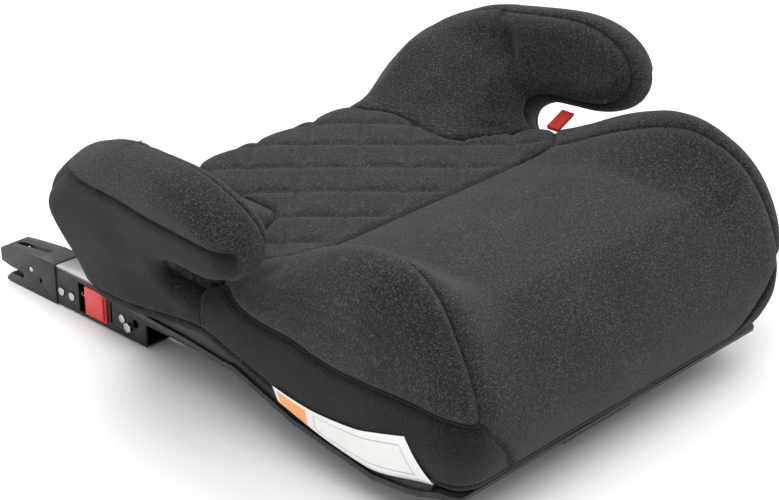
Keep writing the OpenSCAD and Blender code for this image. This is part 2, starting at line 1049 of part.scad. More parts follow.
module slide_rail_right() {
    slide_rail();
}

module slide_rail_left() {
    mirror([1, 0, 0]) slide_rail();
}

module jaw_housing_right() {
    jaw_housing();
}

module jaw_housing_left() {
    mirror([1, 0, 0]) jaw_housing();
}

base_shell();
bottom_tray();
guide_channel_left();
guide_channel_right();
tray_screws();
guide_screws();
seat_foam();
bolster_foam_left();
bolster_foam_right();
armrest_foam_left();
armrest_foam_right();
front_cover();
quilted_cover();
rear_skirt();
bolster_cover_left();
bolster_cover_right();
side_skirt_left();
side_skirt_right();
hem_binding();
armrest_outer_cover_left();
armrest_outer_cover_right();
armrest_inner_cover_left();
armrest_inner_cover_right();
armrest_band_left();
armrest_band_right();
piping_left();
piping_right();
belt_guide_left();
belt_guide_right();
side_label();
cross_tube();
length_rack();
latch_channel_left();
latch_channel_right();
latch_plate_left();
latch_plate_right();
slide_rail_left();
slide_rail_right();
jaw_housing_left();
jaw_housing_right();
latch_rivets();
latch_bolts();
hook_pins();
hook_left();
hook_right();
release_slider_left();
release_slider_right();
release_spring_left();
release_spring_right();
adjuster_handle();
adjuster_rod();
lock_pawl();
adjuster_spring();
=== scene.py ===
"""Looks of a backless booster seat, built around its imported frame.

The padded cover is one smooth closed form, worked out as a signed distance field with numpy. It is cut
into its sewn panels along the seams, and each panel is then puffed, quilted and creased. The latch arms
and the shell are dressed copies of the frame's own pieces.

Lengths inside the form classes are in millimetres. A mesh gets them in metres.
"""

import logging
import math
from collections.abc import Callable, Iterable, Sequence
from dataclasses import dataclass, field
from enum import Enum

import bmesh
import bpy
import numpy as np
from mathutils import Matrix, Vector

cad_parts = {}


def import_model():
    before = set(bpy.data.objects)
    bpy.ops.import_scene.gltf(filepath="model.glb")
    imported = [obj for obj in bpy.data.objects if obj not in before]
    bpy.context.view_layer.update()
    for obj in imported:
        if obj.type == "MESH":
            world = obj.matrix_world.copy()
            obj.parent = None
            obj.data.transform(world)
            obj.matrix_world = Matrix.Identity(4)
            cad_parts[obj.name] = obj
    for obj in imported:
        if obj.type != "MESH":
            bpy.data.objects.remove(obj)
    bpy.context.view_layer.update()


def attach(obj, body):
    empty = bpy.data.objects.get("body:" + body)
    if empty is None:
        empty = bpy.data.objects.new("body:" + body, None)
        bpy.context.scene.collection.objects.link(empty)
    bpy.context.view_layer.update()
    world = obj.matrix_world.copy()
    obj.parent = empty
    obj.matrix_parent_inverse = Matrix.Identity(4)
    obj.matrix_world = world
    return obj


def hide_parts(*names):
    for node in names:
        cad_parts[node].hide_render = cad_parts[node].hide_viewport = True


log = logging.getLogger("booster_seat")

MM = 0.001
Array = np.ndarray
Curve = tuple[tuple[float, float], ...]
SIDES: tuple[tuple[str, int], ...] = (("left", -1), ("right", 1))


# ---------------------------------------------------------------- small maths


def smoothstep(low: float, high: float, value: Array) -> Array:
    """Ramp from 0 at low to 1 at high with level ends: 3t^2 - 2t^3."""
    t = np.clip((value - low) / (high - low), 0.0, 1.0)
    return t * t * (3.0 - 2.0 * t)


def round_and(a: Array, b: Array, radius: Array | float) -> Array:
    """Intersection of two distance fields with a round edge.

    Where both fields are within the radius of zero, the distance is that to a quarter circle:
    length(max(a + r, 0), max(b + r, 0)) - r. Elsewhere it is the larger of the two.
    """
    outside = np.hypot(np.maximum(a + radius, 0.0), np.maximum(b + radius, 0.0)) - radius
    return outside + np.minimum(np.maximum(a, b) + radius, 0.0)


def smooth_or(a: Array, b: Array, blend: Array | float) -> Array:
    """Union of two distance fields with a fillet: min(a, b) - h^2 k / 4, h = max(k - |a - b|, 0) / k."""
    h = np.maximum(blend - np.abs(a - b), 0.0) / blend
    return np.minimum(a, b) - h * h * blend * 0.25


def spline(points: Sequence[tuple[float, ...]], steps: int = 8, closed: bool = False) -> Array:
    """Catmull-Rom curve through the points.

    Args:
        points: corners that the curve passes through, in any number of dimensions.
        steps: pieces in each stretch between two points.
        closed: whether the curve returns to its first point.

    Returns:
        The curve's points, one row each.
    """
    p = np.asarray(points, float)
    if closed:
        p = np.vstack([p[-1], p, p[:2]])
    else:
        p = np.vstack([2 * p[0] - p[1], p, 2 * p[-1] - p[-2]])
    t = (np.arange(steps) / steps)[None, :, None]
    a, b, c, d = (p[i : len(p) - 3 + i][:, None, :] for i in range(4))
    curve = 0.5 * (2 * b + (c - a) * t + (2 * a - 5 * b + 4 * c - d) * t**2 + (3 * b - a - 3 * c + d) * t**3)
    curve = curve.reshape(-1, p.shape[1])
    return curve if closed else np.vstack([curve, p[-2]])


def along(points: Sequence[tuple[float, float]], value: Array) -> Array:
    """Height of a smooth curve through (place, height) points, at each value, held level past its ends."""
    curve = spline(points)
    return np.interp(value, curve[:, 0], curve[:, 1])


class Outline:
    """Signed distance to a closed plane outline, tabled on a grid and read between its nodes."""

    def __init__(self, points: Array, margin: float = 90.0, step: float = 2.0) -> None:
        """Tables the distance.

        Args:
            points: the closed outline, one corner each row.
            margin: how far the table reaches past the outline.
            step: pitch of the table.
        """
        self.points = points
        self.step = step
        self.low = points.min(0) - margin
        count = np.ceil((points.max(0) + margin - self.low) / step).astype(int) + 1
        u = self.low[0] + step * np.arange(count[0])
        v = self.low[1] + step * np.arange(count[1])
        grid = np.stack(np.meshgrid(u, v, indexing="ij"), -1)
        best = np.full(grid.shape[:2], np.inf)
        inside = np.zeros(grid.shape[:2], bool)
        for a, b in zip(points, np.roll(points, -1, 0), strict=True):
            edge = b - a
            rel = grid - a
            t = np.clip(rel @ edge / max(edge @ edge, 1e-9), 0.0, 1.0)
            best = np.minimum(best, np.linalg.norm(rel - t[..., None] * edge, axis=-1))
            if a[1] != b[1]:
                spans = (a[1] > grid[..., 1]) != (b[1] > grid[..., 1])
                cross = a[0] + (grid[..., 1] - a[1]) * edge[0] / edge[1]
                inside ^= spans & (grid[..., 0] < cross)
        self.table = np.where(inside, -best, best)

    def distance(self, u: Array, v: Array) -> Array:
        """Distance at each (u, v), negative inside, by bilinear reading of the table."""
        fu = np.clip((u - self.low[0]) / self.step, 0, self.table.shape[0] - 1.001)
        fv = np.clip((v - self.low[1]) / self.step, 0, self.table.shape[1] - 1.001)
        iu, iv = fu.astype(int), fv.astype(int)
        tu, tv = fu - iu, fv - iv
        t = self.table
        low = t[iu, iv] * (1 - tu) + t[iu + 1, iv] * tu
        high = t[iu, iv + 1] * (1 - tu) + t[iu + 1, iv + 1] * tu
        return low * (1 - tv) + high * tv


# ---------------------------------------------------------------- shader maths


class Sock:
    """A shader socket that adds Math nodes when it is used in an expression."""

    def __init__(self, shader: "Shader", socket: bpy.types.NodeSocket) -> None:
        """Wraps one output socket."""
        self.shader = shader
        self.socket = socket

    def _math(self, operation: str, *values: "Sock | float") -> "Sock":
        """Adds one Math node."""
        node = self.shader.node("ShaderNodeMath", {"operation": operation}, dict(enumerate(values)))
        return Sock(self.shader, node.outputs[0])

    def __add__(self, other: "Sock | float") -> "Sock":
        """Sum."""
        return self._math("ADD", self, other)

    __radd__ = __add__

    def __sub__(self, other: "Sock | float") -> "Sock":
        """Difference."""
        return self._math("SUBTRACT", self, other)

    def __rsub__(self, other: float) -> "Sock":
        """Difference from a number."""
        return self._math("SUBTRACT", other, self)

    def __mul__(self, other: "Sock | float") -> "Sock":
        """Product."""
        return self._math("MULTIPLY", self, other)

    __rmul__ = __mul__

    def sin(self) -> "Sock":
        """Sine, in radians."""
        return self._math("SINE", self)

    def clamp(self, low: float = 0.0, high: float = 1.0) -> "Sock":
        """Held between two numbers."""
        return self._math("MINIMUM", self._math("MAXIMUM", self, low), high)

    def step(self, low: float, high: float) -> "Sock":
        """Smooth ramp from 0 at low to 1 at high."""
        node = self.shader.node(
            "ShaderNodeMapRange",
            {"interpolation_type": "SMOOTHSTEP"},
            {0: self, 1: low, 2: high, 3: 0.0, 4: 1.0},
        )
        return Sock(self.shader, node.outputs[0])


class Shader:
    """One material's node tree, written as expressions."""

    def __init__(self, name: str) -> None:
        """Starts a material with its Principled shader."""
        self.material = bpy.data.materials.new(name)
        self.material.use_nodes = True
        self.tree = self.material.node_tree
        self.tree.nodes.clear()
        self.out = self.tree.nodes.new("ShaderNodeOutputMaterial")
        self.surface = self.tree.nodes.new("ShaderNodeBsdfPrincipled")
        self.tree.links.new(self.surface.outputs[0], self.out.inputs[0])

    def node(self, kind: str, settings: dict[str, object], inputs: dict[int | str, object]) -> bpy.types.Node:
        """Adds any node.

        Args:
            kind: the node's type.
            settings: attributes, set first. The key "stops" fills a colour ramp with (place, colour) pairs.
            inputs: values or sockets, by the input's number or name.

        Returns:
            The node.
        """
        made = self.tree.nodes.new(kind)
        for key, value in settings.items():
            if key == "stops":
                ramp = made.color_ramp
                while len(ramp.elements) < len(value):
                    ramp.elements.new(0.5)
                for element, (place, colour) in zip(ramp.elements, value, strict=True):
                    element.position = place
                    element.color = (*colour, 1.0)
            else:
                setattr(made, key, value)
        for key, value in inputs.items():
            if isinstance(value, Sock):
                self.tree.links.new(value.socket, made.inputs[key])
            else:
                made.inputs[key].default_value = value
        return made

    def fixed(self, **values: object) -> None:
        """Sets the shader's own sockets, with underscores for the spaces in their names."""
        for key, value in values.items():
            name = key.replace("_", " ")
            if isinstance(value, tuple) and len(value) == 3:
                value = (*value, 1.0)
            self.surface.inputs[name].default_value = value

    def feed(self, name: str, value: Sock) -> None:
        """Links a varying value to one of the shader's sockets."""
        self.tree.links.new(value.socket, self.surface.inputs[name])

    def place(self, output: str = "Object") -> Sock:
        """Texture coordinates: Object or UV."""
        return Sock(self, self.node("ShaderNodeTexCoord", {}, {}).outputs[output])

    def stretched(self, place: Sock, scale: tuple[float, float, float], turn: float = 0.0) -> Sock:
        """Coordinates scaled along each axis and turned about Z by an angle in radians."""
        made = self.node("ShaderNodeMapping", {}, {0: place, "Rotation": (0.0, 0.0, turn), "Scale": scale})
        return Sock(self, made.outputs[0])

    def noise(self, place: Sock, scale: float, detail: float = 2.0, rough: float = 0.5) -> Sock:
        """Noise value at a place."""
        made = self.node(
            "ShaderNodeTexNoise", {}, {"Vector": place, "Scale": scale, "Detail": detail, "Roughness": rough}
        )
        return Sock(self, made.outputs[0])

    def split(self, place: Sock) -> tuple[Sock, Sock, Sock]:
        """The three parts of a vector."""
        made = self.node("ShaderNodeSeparateXYZ", {}, {0: place})
        return tuple(Sock(self, made.outputs[i]) for i in range(3))

    def mix(self, factor: Sock, a: tuple[float, ...] | Sock, b: tuple[float, ...] | Sock) -> Sock:
        """Colour between a and b."""
        made = self.node("ShaderNodeMix", {"data_type": "RGBA"}, {"Factor": factor})
        for slot, value in ((6, a), (7, b)):
            if isinstance(value, Sock):
                self.tree.links.new(value.socket, made.inputs[slot])
            else:
                made.inputs[slot].default_value = (*value, 1.0)
        return Sock(self, made.outputs[2])

    def ramp(self, value: Sock, stops: Sequence[tuple[float, tuple[float, float, float]]]) -> Sock:
        """Colour read from a ramp."""
        return Sock(self, self.node("ShaderNodeValToRGB", {"stops": stops}, {0: value}).outputs[0])

    def attribute(self, name: str) -> Sock:
        """A value that the mesh holds at each point."""
        return Sock(self, self.node("ShaderNodeAttribute", {"attribute_name": name}, {}).outputs["Fac"])

    def bump(self, height: Sock, distance: float, strength: float = 1.0) -> None:
        """Feeds a relief of that height, in metres for a height of 1, to the shader's normal."""
        made = self.node("ShaderNodeBump", {}, {"Strength": strength, "Distance": distance, "Height": height})
        self.feed("Normal", Sock(self, made.outputs[0]))


Colour = tuple[float, float, float]


@dataclass(frozen=True)
class MelangeCloth:
    """Woven melange upholstery: dark and pale threads over and under each other."""

    name: str
    dark: Colour
    mid: Colour
    pale: Colour
    thread: float = 1.15 * MM
    sheen: float = 0.12

    def build(self) -> bpy.types.Material:
        """Makes the material.

        The UV map is in metres. Warp and weft are two ribs, each a sine across its threads. Pale and dark
        fibres are read from the object's own place, so that they never stretch.

        Returns:
            The material.
        """
        s = Shader(self.name)
        uv = s.place("UV")
        u, v, _ = s.split(uv)
        turns = math.tau / self.thread
        waver = (s.noise(uv, 160.0, 1.0) - 0.5) * 2.2
        weft = (v * turns + waver).sin() * 0.5 + 0.5
        warp = (u * turns + waver).sin() * 0.5 + 0.5
        at = s.place()
        slub_weft = s.noise(s.stretched(at, (420.0, 560.0, 900.0)), 1.0, 2.0, 0.6)
        slub_warp = s.noise(s.stretched(at, (950.0, 800.0, 520.0)), 1.0, 3.0, 0.65)
        broad = s.noise(at, 22.0, 2.0)
        tone = (slub_weft * 0.55 + slub_warp * 0.45 - 0.5) * 2.7 + 0.5
        weave = (weft * 0.6 + warp * 0.4) * 0.3 + 0.7
        shade = (tone * weave + (broad - 0.5) * 0.18).clamp()
        colour = s.ramp(shade, ((0.12, self.dark), (0.45, self.mid), (0.85, self.pale)))
        # The seam value darkens the seam and quilting lines, and paints shade into the creases.
        seam = s.attribute("seam").clamp()
        s.feed("Base Color", s.mix(seam, colour, tuple(c * 0.35 for c in self.dark)))
        s.feed("Roughness", 0.86 + (shade - 0.5) * 0.14)
        s.fixed(Specular_IOR_Level=0.14, Sheen_Weight=self.sheen, Sheen_Roughness=0.55)
        s.fixed(Sheen_Tint=(0.75, 0.76, 0.8))
        relief = weft * 0.55 + warp * 0.45 + tone * 0.9
        s.bump(relief, 0.45 * MM, 0.8)
        return s.material


@dataclass(frozen=True)
class Moulding:
    """Moulded plastic with a fine spark-eroded grain."""

    name: str
    colour: Colour
    rough: float = 0.5
    grain: float = 0.05
    coat: float = 0.0

    def build(self) -> bpy.types.Material:
        """Makes the material: speckled grain in the relief and faint rub marks in the roughness."""
        s = Shader(self.name)
        at = s.place()
        grain = s.noise(at, 1400.0, 2.0)
        rub = s.noise(s.stretched(at, (30.0, 90.0, 60.0)), 1.0, 4.0, 0.65)
        s.feed("Roughness", (self.rough + (rub - 0.5) * 0.22 + (grain - 0.5) * 0.08).clamp(0.05, 1.0))
        lit = tuple(min(c * 1.5 + 0.004, 1.0) for c in self.colour)
        s.feed("Base Color", s.mix((rub - 0.35).clamp() * 0.8, self.colour, lit))
        s.fixed(Specular_IOR_Level=0.45, Coat_Weight=self.coat, Coat_Roughness=0.15)
        s.bump(grain, self.grain * MM, 0.7)
        return s.material


@dataclass(frozen=True)
class Metal:
    """Bare or coated steel with drawing marks along Y."""

    name: str
    colour: Colour
    metallic: float = 1.0
    rough: float = 0.36
    marks: float = 0.22

    def build(self) -> bpy.types.Material:
        """Makes the material: fine streaks along Y, cloudy stains and small pits."""
        s = Shader(self.name)
        at = s.place()
        streak = s.noise(s.stretched(at, (2200.0, 60.0, 2200.0)), 1.0, 2.0)
        cloud = s.noise(at, 55.0, 4.0, 0.6)
        pit = s.noise(at, 900.0, 1.0)
        rough = self.rough + (streak - 0.5) * self.marks + (cloud - 0.5) * 0.18
        s.feed("Roughness", rough.clamp(0.08, 1.0))
        dull = tuple(c * 0.62 for c in self.colour)
        s.feed("Base Color", s.mix((cloud * 0.7 + streak * 0.3).clamp(), dull, self.colour))
        s.fixed(Metallic=self.metallic, Specular_IOR_Level=0.5)
        s.bump(streak * 0.6 + pit * 0.4, 0.05 * MM, 0.6)
        return s.material


@dataclass(frozen=True)
class Tape:
    """Woven tape with ribs across its length."""

    name: str
    colour: Colour
    pitch: float = 1.4 * MM

    def build(self) -> bpy.types.Material:
        """Makes the material: a herringbone of two sines on the tape's UV map, in metres."""
        s = Shader(self.name)
        u, v, _ = s.split(s.place("UV"))
        turns = math.tau / self.pitch
        rib = (v * turns + (u * turns * 0.5).sin() * 1.6).sin() * 0.5 + 0.5
        wear = s.noise(s.place("UV"), 300.0, 3.0)
        shade = tuple(c * 0.6 for c in self.colour)
        s.feed("Base Color", s.mix(rib * 0.5 + wear * 0.5, shade, self.colour))
        s.feed("Roughness", 0.62 + (wear - 0.5) * 0.2)
        s.fixed(Specular_IOR_Level=0.35, Sheen_Weight=0.2)
        s.bump(rib, 0.3 * MM, 0.8)
        return s.material


@dataclass(frozen=True)
class Film:
    """Printed film label: pale ground with one plain tinted block and bare ruled fields."""

    name: str
    ground: Colour
    block: Colour
    rule: Colour

    def build(self) -> bpy.types.Material:
        """Makes the material: boxes on a UV map that runs from 0 to 1 each way."""
        s = Shader(self.name)
        u, v, _ = s.split(s.place("UV"))

        def span(value: Sock, low: float, high: float) -> Sock:
            """1 between low and high, with sharp but smooth ends."""
            return value.step(low, low + 0.008) * (1.0 - value.step(high, high + 0.008))

        block = span(u, 0.03, 0.30) * span(v, 0.06, 0.86)
        inside = span(u, 0.366, 0.934) * span(v, 0.17, 0.79)
        frame = span(u, 0.36, 0.94) * span(v, 0.14, 0.82) * (1.0 - inside)
        stain = s.noise(s.place(), 70.0, 3.0)
        ground = s.mix((stain - 0.4).clamp(), self.ground, tuple(c * 0.86 for c in self.ground))
        s.feed("Base Color", s.mix(block, s.mix(frame * 0.7, ground, self.rule), self.block))
        s.feed("Roughness", 0.34 + (stain - 0.5) * 0.2)
        s.fixed(Specular_IOR_Level=0.5)
        s.bump(s.noise(s.place(), 45.0, 2.0), 0.6 * MM, 0.35)
        return s.material


@dataclass(frozen=True)
class Ground:
    """Plain pale floor."""

    name: str
    colour: Colour

    def build(self) -> bpy.types.Material:
        """Makes the material."""
        s = Shader(self.name)
        s.fixed(Base_Color=self.colour, Roughness=0.75, Specular_IOR_Level=0.2)
        return s.material


class Finish(Enum):
    """Every finish on the object."""

    CLOTH = MelangeCloth(
        "melange_cloth", (0.004, 0.0039, 0.004), (0.0145, 0.0140, 0.0142), (0.080, 0.077, 0.078)
    )
    SIDE_CLOTH = MelangeCloth(
        "side_cloth", (0.0015, 0.0015, 0.0015), (0.0042, 0.0040, 0.0041), (0.026, 0.025, 0.0255)
    )
    PIPING = MelangeCloth("piping_cloth", (0.003, 0.003, 0.003), (0.007, 0.007, 0.007), (0.014, 0.014, 0.014))
    SHELL = Moulding("shell_plastic", (0.011, 0.0105, 0.010), 0.52, 0.08)
    JAW = Moulding("jaw_plastic", (0.009, 0.008, 0.007), 0.42, 0.05)
    RED = Moulding("red_plastic", (0.45, 0.008, 0.007), 0.38, 0.02, 0.0)
    ARM_STEEL = Metal("coated_steel", (0.016, 0.014, 0.0125), 0.35, 0.42, 0.18)
    PLATE_STEEL = Metal("plated_steel", (0.30, 0.30, 0.31), 0.9, 0.34, 0.2)
    BRIGHT_STEEL = Metal("bright_steel", (0.62, 0.62, 0.63), 1.0, 0.26, 0.15)
    RED_TAPE = Tape("red_tape", (0.78, 0.035, 0.025))
    LABEL = Film("blank_label", (0.80, 0.80, 0.78), (0.88, 0.36, 0.10), (0.30, 0.30, 0.31))
    FLOOR = Ground("studio_floor", (0.92, 0.92, 0.92))

    def material(self) -> bpy.types.Material:
        """The finish's material, made once."""
        made = bpy.data.materials.get(self.value.name)
        return made if made else self.value.build()


# ---------------------------------------------------------------- meshes


def add_mesh(
    name: str,
    points: Array,
    faces: Array,
    finish: Finish,
    uv: Array | None = None,
    values: dict[str, Array] | None = None,
) -> bpy.types.Object:
    """Makes an object from arrays.

    Args:
        name: the piece's name.
        points: corners in metres, one each row.
        faces: corner numbers, one face each row.
        finish: what it is made of.
        uv: a place on the cloth for each point, in metres.
        values: named numbers for each point.

    Returns:
        The object, with smooth faces.
    """
    mesh = bpy.data.meshes.new(name)
    mesh.from_pydata(points.tolist(), [], faces.tolist())
    mesh.polygons.foreach_set("use_smooth", np.ones(len(mesh.polygons), bool))
    if uv is not None:
        corner = np.zeros(len(mesh.loops), np.int32)
        mesh.loops.foreach_get("vertex_index", corner)
        mesh.uv_layers.new(name="cloth").data.foreach_set("uv", uv[corner].ravel())
    for key, value in (values or {}).items():
        mesh.attributes.new(key, "FLOAT", "POINT").data.foreach_set("value", value.astype(np.float32))
    mesh.update()
    made = bpy.data.objects.new(name, mesh)
    bpy.context.scene.collection.objects.link(made)
    mesh.materials.append(finish.material())
    return made


def tube(name: str, path: Array, radius: float, finish: Finish, sides: int = 8) -> bpy.types.Object:
    """Round cord along an open path.

    Each ring is centre + r (cos a * side + sin a * up), where side and up stay square to the path. Each
    end is closed with one flat face.

    Args:
        name: the piece's name.
        path: points in metres.
        radius: radius in metres.
        finish: what it is made of.
        sides: corners in each ring.

    Returns:
        The object.
    """
    step = np.gradient(path, axis=0)
    step /= np.linalg.norm(step, axis=1, keepdims=True)
    side = np.cross(step, (0.0, 0.0, 1.0))
    weak = np.linalg.norm(side, axis=1) < 0.15
    side[weak] = np.cross(step[weak], (1.0, 0.0, 0.0))
    side /= np.linalg.norm(side, axis=1, keepdims=True)
    for i in range(1, len(side)):
        if side[i] @ side[i - 1] < 0:
            side[i] = -side[i]
    up = np.cross(side, step)
    angle = np.arange(sides) * math.tau / sides
    ring = np.cos(angle)[None, :, None] * side[:, None, :] + np.sin(angle)[None, :, None] * up[:, None, :]
    points = (path[:, None, :] + radius * ring).reshape(-1, 3)
    i, j = np.meshgrid(np.arange(len(path) - 1), np.arange(sides), indexing="ij")
    k = (j + 1) % sides
    here, ahead = i * sides, (i + 1) * sides
    quads = np.stack([here + j, here + k, ahead + k, ahead + j], -1).reshape(-1, 4)
    run = np.concatenate([[0.0], np.cumsum(np.linalg.norm(np.diff(path, axis=0), axis=1))])
    shape = (len(path), sides)
    uv = np.stack([np.broadcast_to(radius * angle, shape), np.broadcast_to(run[:, None], shape)], -1)
    made = add_mesh(name, points, quads, finish, uv.reshape(-1, 2), {"seam": np.zeros(len(points))})
    work = bmesh.new()
    work.from_mesh(made.data)
    bmesh.ops.holes_fill(work, edges=[e for e in work.edges if e.is_boundary], sides=sides + 1)
    bmesh.ops.recalc_face_normals(work, faces=work.faces)
    work.to_mesh(made.data)
    work.free()
    return made


def dressed(node: str, name: str, finish: Finish, bevel: float, segments: int = 2) -> bpy.types.Object:
    """Copy of a frame node with merged corners and rounded edges, which stands for that node.

    Args:
        node: the frame node's name.
        name: the copy's name.
        finish: what it is made of.
        bevel: radius of its edges in metres.
        segments: steps round each edge.

    Returns:
        The copy.
    """
    source = bpy.data.objects[node]
    mesh = source.data.copy()
    mesh.name = name
    made = bpy.data.objects.new(name, mesh)
    bpy.context.scene.collection.objects.link(made)
    work = bmesh.new()
    work.from_mesh(mesh)
    bmesh.ops.remove_doubles(work, verts=work.verts, dist=0.00002)
    bmesh.ops.dissolve_limit(work, angle_limit=math.radians(1.0), verts=work.verts, edges=work.edges)
    work.to_mesh(mesh)
    work.free()
    mesh.polygons.foreach_set("use_smooth", np.ones(len(mesh.polygons), bool))
    mesh.materials.clear()
    mesh.materials.append(finish.material())
    if bevel > 0:
        edge = made.modifiers.new("edges", "BEVEL")
        edge.width = bevel
        edge.segments = segments
        edge.limit_method = "ANGLE"
        edge.angle_limit = math.radians(28.0)
        edge.harden_normals = True
    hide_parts(node)
    return made


# ---------------------------------------------------------------- the cover


class SurfaceNet:
    """Quads on the zero surface of a field, one point in each grid cell that it crosses."""

    def __init__(
        self, value: Callable[[Array, Array, Array], Array], low: Array, high: Array, step: float
    ) -> None:
        """Samples the field and joins the surface.

        Args:
            value: the field, negative inside.
            low: lowest corner of the box it is sampled in.
            high: highest corner.
            step: pitch of the samples.
        """
        self.value = value
        axes = [np.arange(a, b + step, step) for a, b in zip(low, high, strict=True)]
        x, y, z = np.meshgrid(*axes, indexing="ij")
        f = value(x, y, z)
        grid = np.stack([x, y, z], -1)
        inner = tuple(n - 1 for n in f.shape)
        total = np.zeros((*inner, 3))
        hits = np.zeros(inner)
        corners = [(i, j, k) for i in (0, 1) for j in (0, 1) for k in (0, 1)]
        part = {c: tuple(slice(c[a], c[a] + inner[a]) for a in range(3)) for c in corners}
        for a in corners:
            for axis in range(3):
                if a[axis]:
                    continue
                b = tuple(1 if n == axis else a[n] for n in range(3))
                fa, fb = f[part[a]], f[part[b]]
                cut = (fa < 0) != (fb < 0)
                t = np.where(cut, fa / np.where(cut, fa - fb, 1.0), 0.0)[..., None]
                total += np.where(cut[..., None], grid[part[a]] * (1 - t) + grid[part[b]] * t, 0.0)
                hits += cut
        active = hits > 0
        number = np.full(inner, -1)
        number[active] = np.arange(active.sum())
        self.points = total[active] / hits[active][:, None]
        quads = []
        for axis in range(3):
            p, q = (axis + 1) % 3, (axis + 2) % 3
            start = [slice(1, n) for n in inner]
            start[axis] = slice(0, inner[axis])
            ahead = list(start)
            ahead[axis] = slice(1, inner[axis] + 1)
            fa, fb = f[tuple(start)], f[tuple(ahead)]
            place = np.argwhere((fa < 0) != (fb < 0)) + [s.start for s in start]
            out = fa[tuple((place - [s.start for s in start]).T)] < 0
            ring = []
            for dp, dq in ((-1, -1), (0, -1), (0, 0), (-1, 0)):
                cell = place.copy()
                cell[:, p] += dp
                cell[:, q] += dq
                ring.append(number[tuple(cell.T)])
            quad = np.stack(ring, -1)
            quads.append(np.where(out[:, None], quad, quad[:, ::-1]))
        self.quads = np.vstack(quads)

    def slope(self, p: Array, reach: float = 0.8) -> Array:
        """The field's gradient at each point, by central differences."""
        out = np.zeros_like(p)
        for axis in range(3):
            ahead, behind = p.copy(), p.copy()
            ahead[:, axis] += reach
            behind[:, axis] -= reach
            out[:, axis] = (self.value(*ahead.T) - self.value(*behind.T)) / (2 * reach)
        return out

    def settle(self, rounds: int = 3) -> None:
        """Moves each point onto the zero surface by Newton steps: p - f g / |g|^2."""
        for _ in range(rounds):
            g = self.slope(self.points)
            f = self.value(*self.points.T)
            step = g * (f / np.maximum((g * g).sum(1), 0.05))[:, None]
            self.points -= np.clip(step, -2.0, 2.0)

    def relax(self, rounds: int = 2) -> None:
        """Evens out the quads: each point moves half way to the mean of its neighbours, then settles."""
        a = self.quads.ravel()
        b = np.roll(self.quads, -1, 1).ravel()
        ends = np.concatenate([a, b])
        others = np.concatenate([b, a])
        count = np.bincount(ends, minlength=len(self.points))[:, None]
        for _ in range(rounds):
            mean = np.stack(
                [np.bincount(ends, self.points[others, n], len(self.points)) for n in range(3)], -1
            ) / np.maximum(count, 1)
            self.points += 0.5 * (mean - self.points)
            self.settle(1)


@dataclass
class ArmForm:
    """Padded armrest: a hooked side outline, leaning outwards, with round edges."""

    foot_x: float = 188.0
    foot_z: float = 70.0
    lean: float = math.radians(14.0)
    edge: float = 22.0
    outline: list[tuple[float, float]] = field(
        default_factory=lambda: [
            (92, -6), (104, 12), (112, 27), (119, 42), (127, 58), (132, 74), (134, 90), (131, 104),
            (122, 118), (111, 129), (98, 140), (83, 151), (63, 161), (38, 171), (5, 178), (-28, 183),
            (-60, 185), (-87, 181), (-108, 172), (-123, 159), (-130, 144), (-129, 131), (-121, 119),
            (-106, 110), (-87, 105), (-62, 103), (-42, 101), (-27, 93), (-21, 82), (-25, 72), (-38, 64),
            (-46, 50), (-46, 20), (-34, 3), (20, -8), (70, -10),
        ]
    )

    def __post_init__(self) -> None:
        """Tables the side outline's distance."""
        self.curve = spline(self.outline, 5, closed=True)
        self.plane = Outline(self.curve)

    def local(self, x: Array, y: Array, z: Array) -> tuple[Array, Array]:
        """Place across and up the leaning armrest, from places on the right half."""
        dx, dz = x - self.foot_x, z - self.foot_z
        across = dx * math.cos(self.lean) - dz * math.sin(self.lean)
        up = dx * math.sin(self.lean) + dz * math.cos(self.lean)
        return across - self.splay(y, up), up

    def splay(self, y: Array, up: Array) -> Array:
        """How far the armrest swings outwards: inwards at its rear, outwards at its tip."""
        return (15.0 * smoothstep(80.0, -110.0, y) + 2.0) * smoothstep(20.0, 110.0, up)

    def outer(self, up: Array) -> Array:
        """Outer face's place across, which draws in towards the foot."""
        return 11.0 + 13.0 * smoothstep(0.0, 110.0, up)

    def inner(self, up: Array, y: Array) -> Array:
        """Inner face's place across, which runs out over the seat towards the foot."""
        return -(27.0 + 16.0 * smoothstep(115.0, 40.0, up) * smoothstep(-40.0, 40.0, y))

    def distance(self, x: Array, y: Array, z: Array) -> Array:
        """Signed distance of the armrest on the right half."""
        across, up = self.local(x, y, z)
        low, high = self.inner(up, y), self.outer(up)
        slab = np.abs(across - (low + high) / 2) - (high - low) / 2
        return round_and(self.plane.distance(y, up), slab, self.edge)


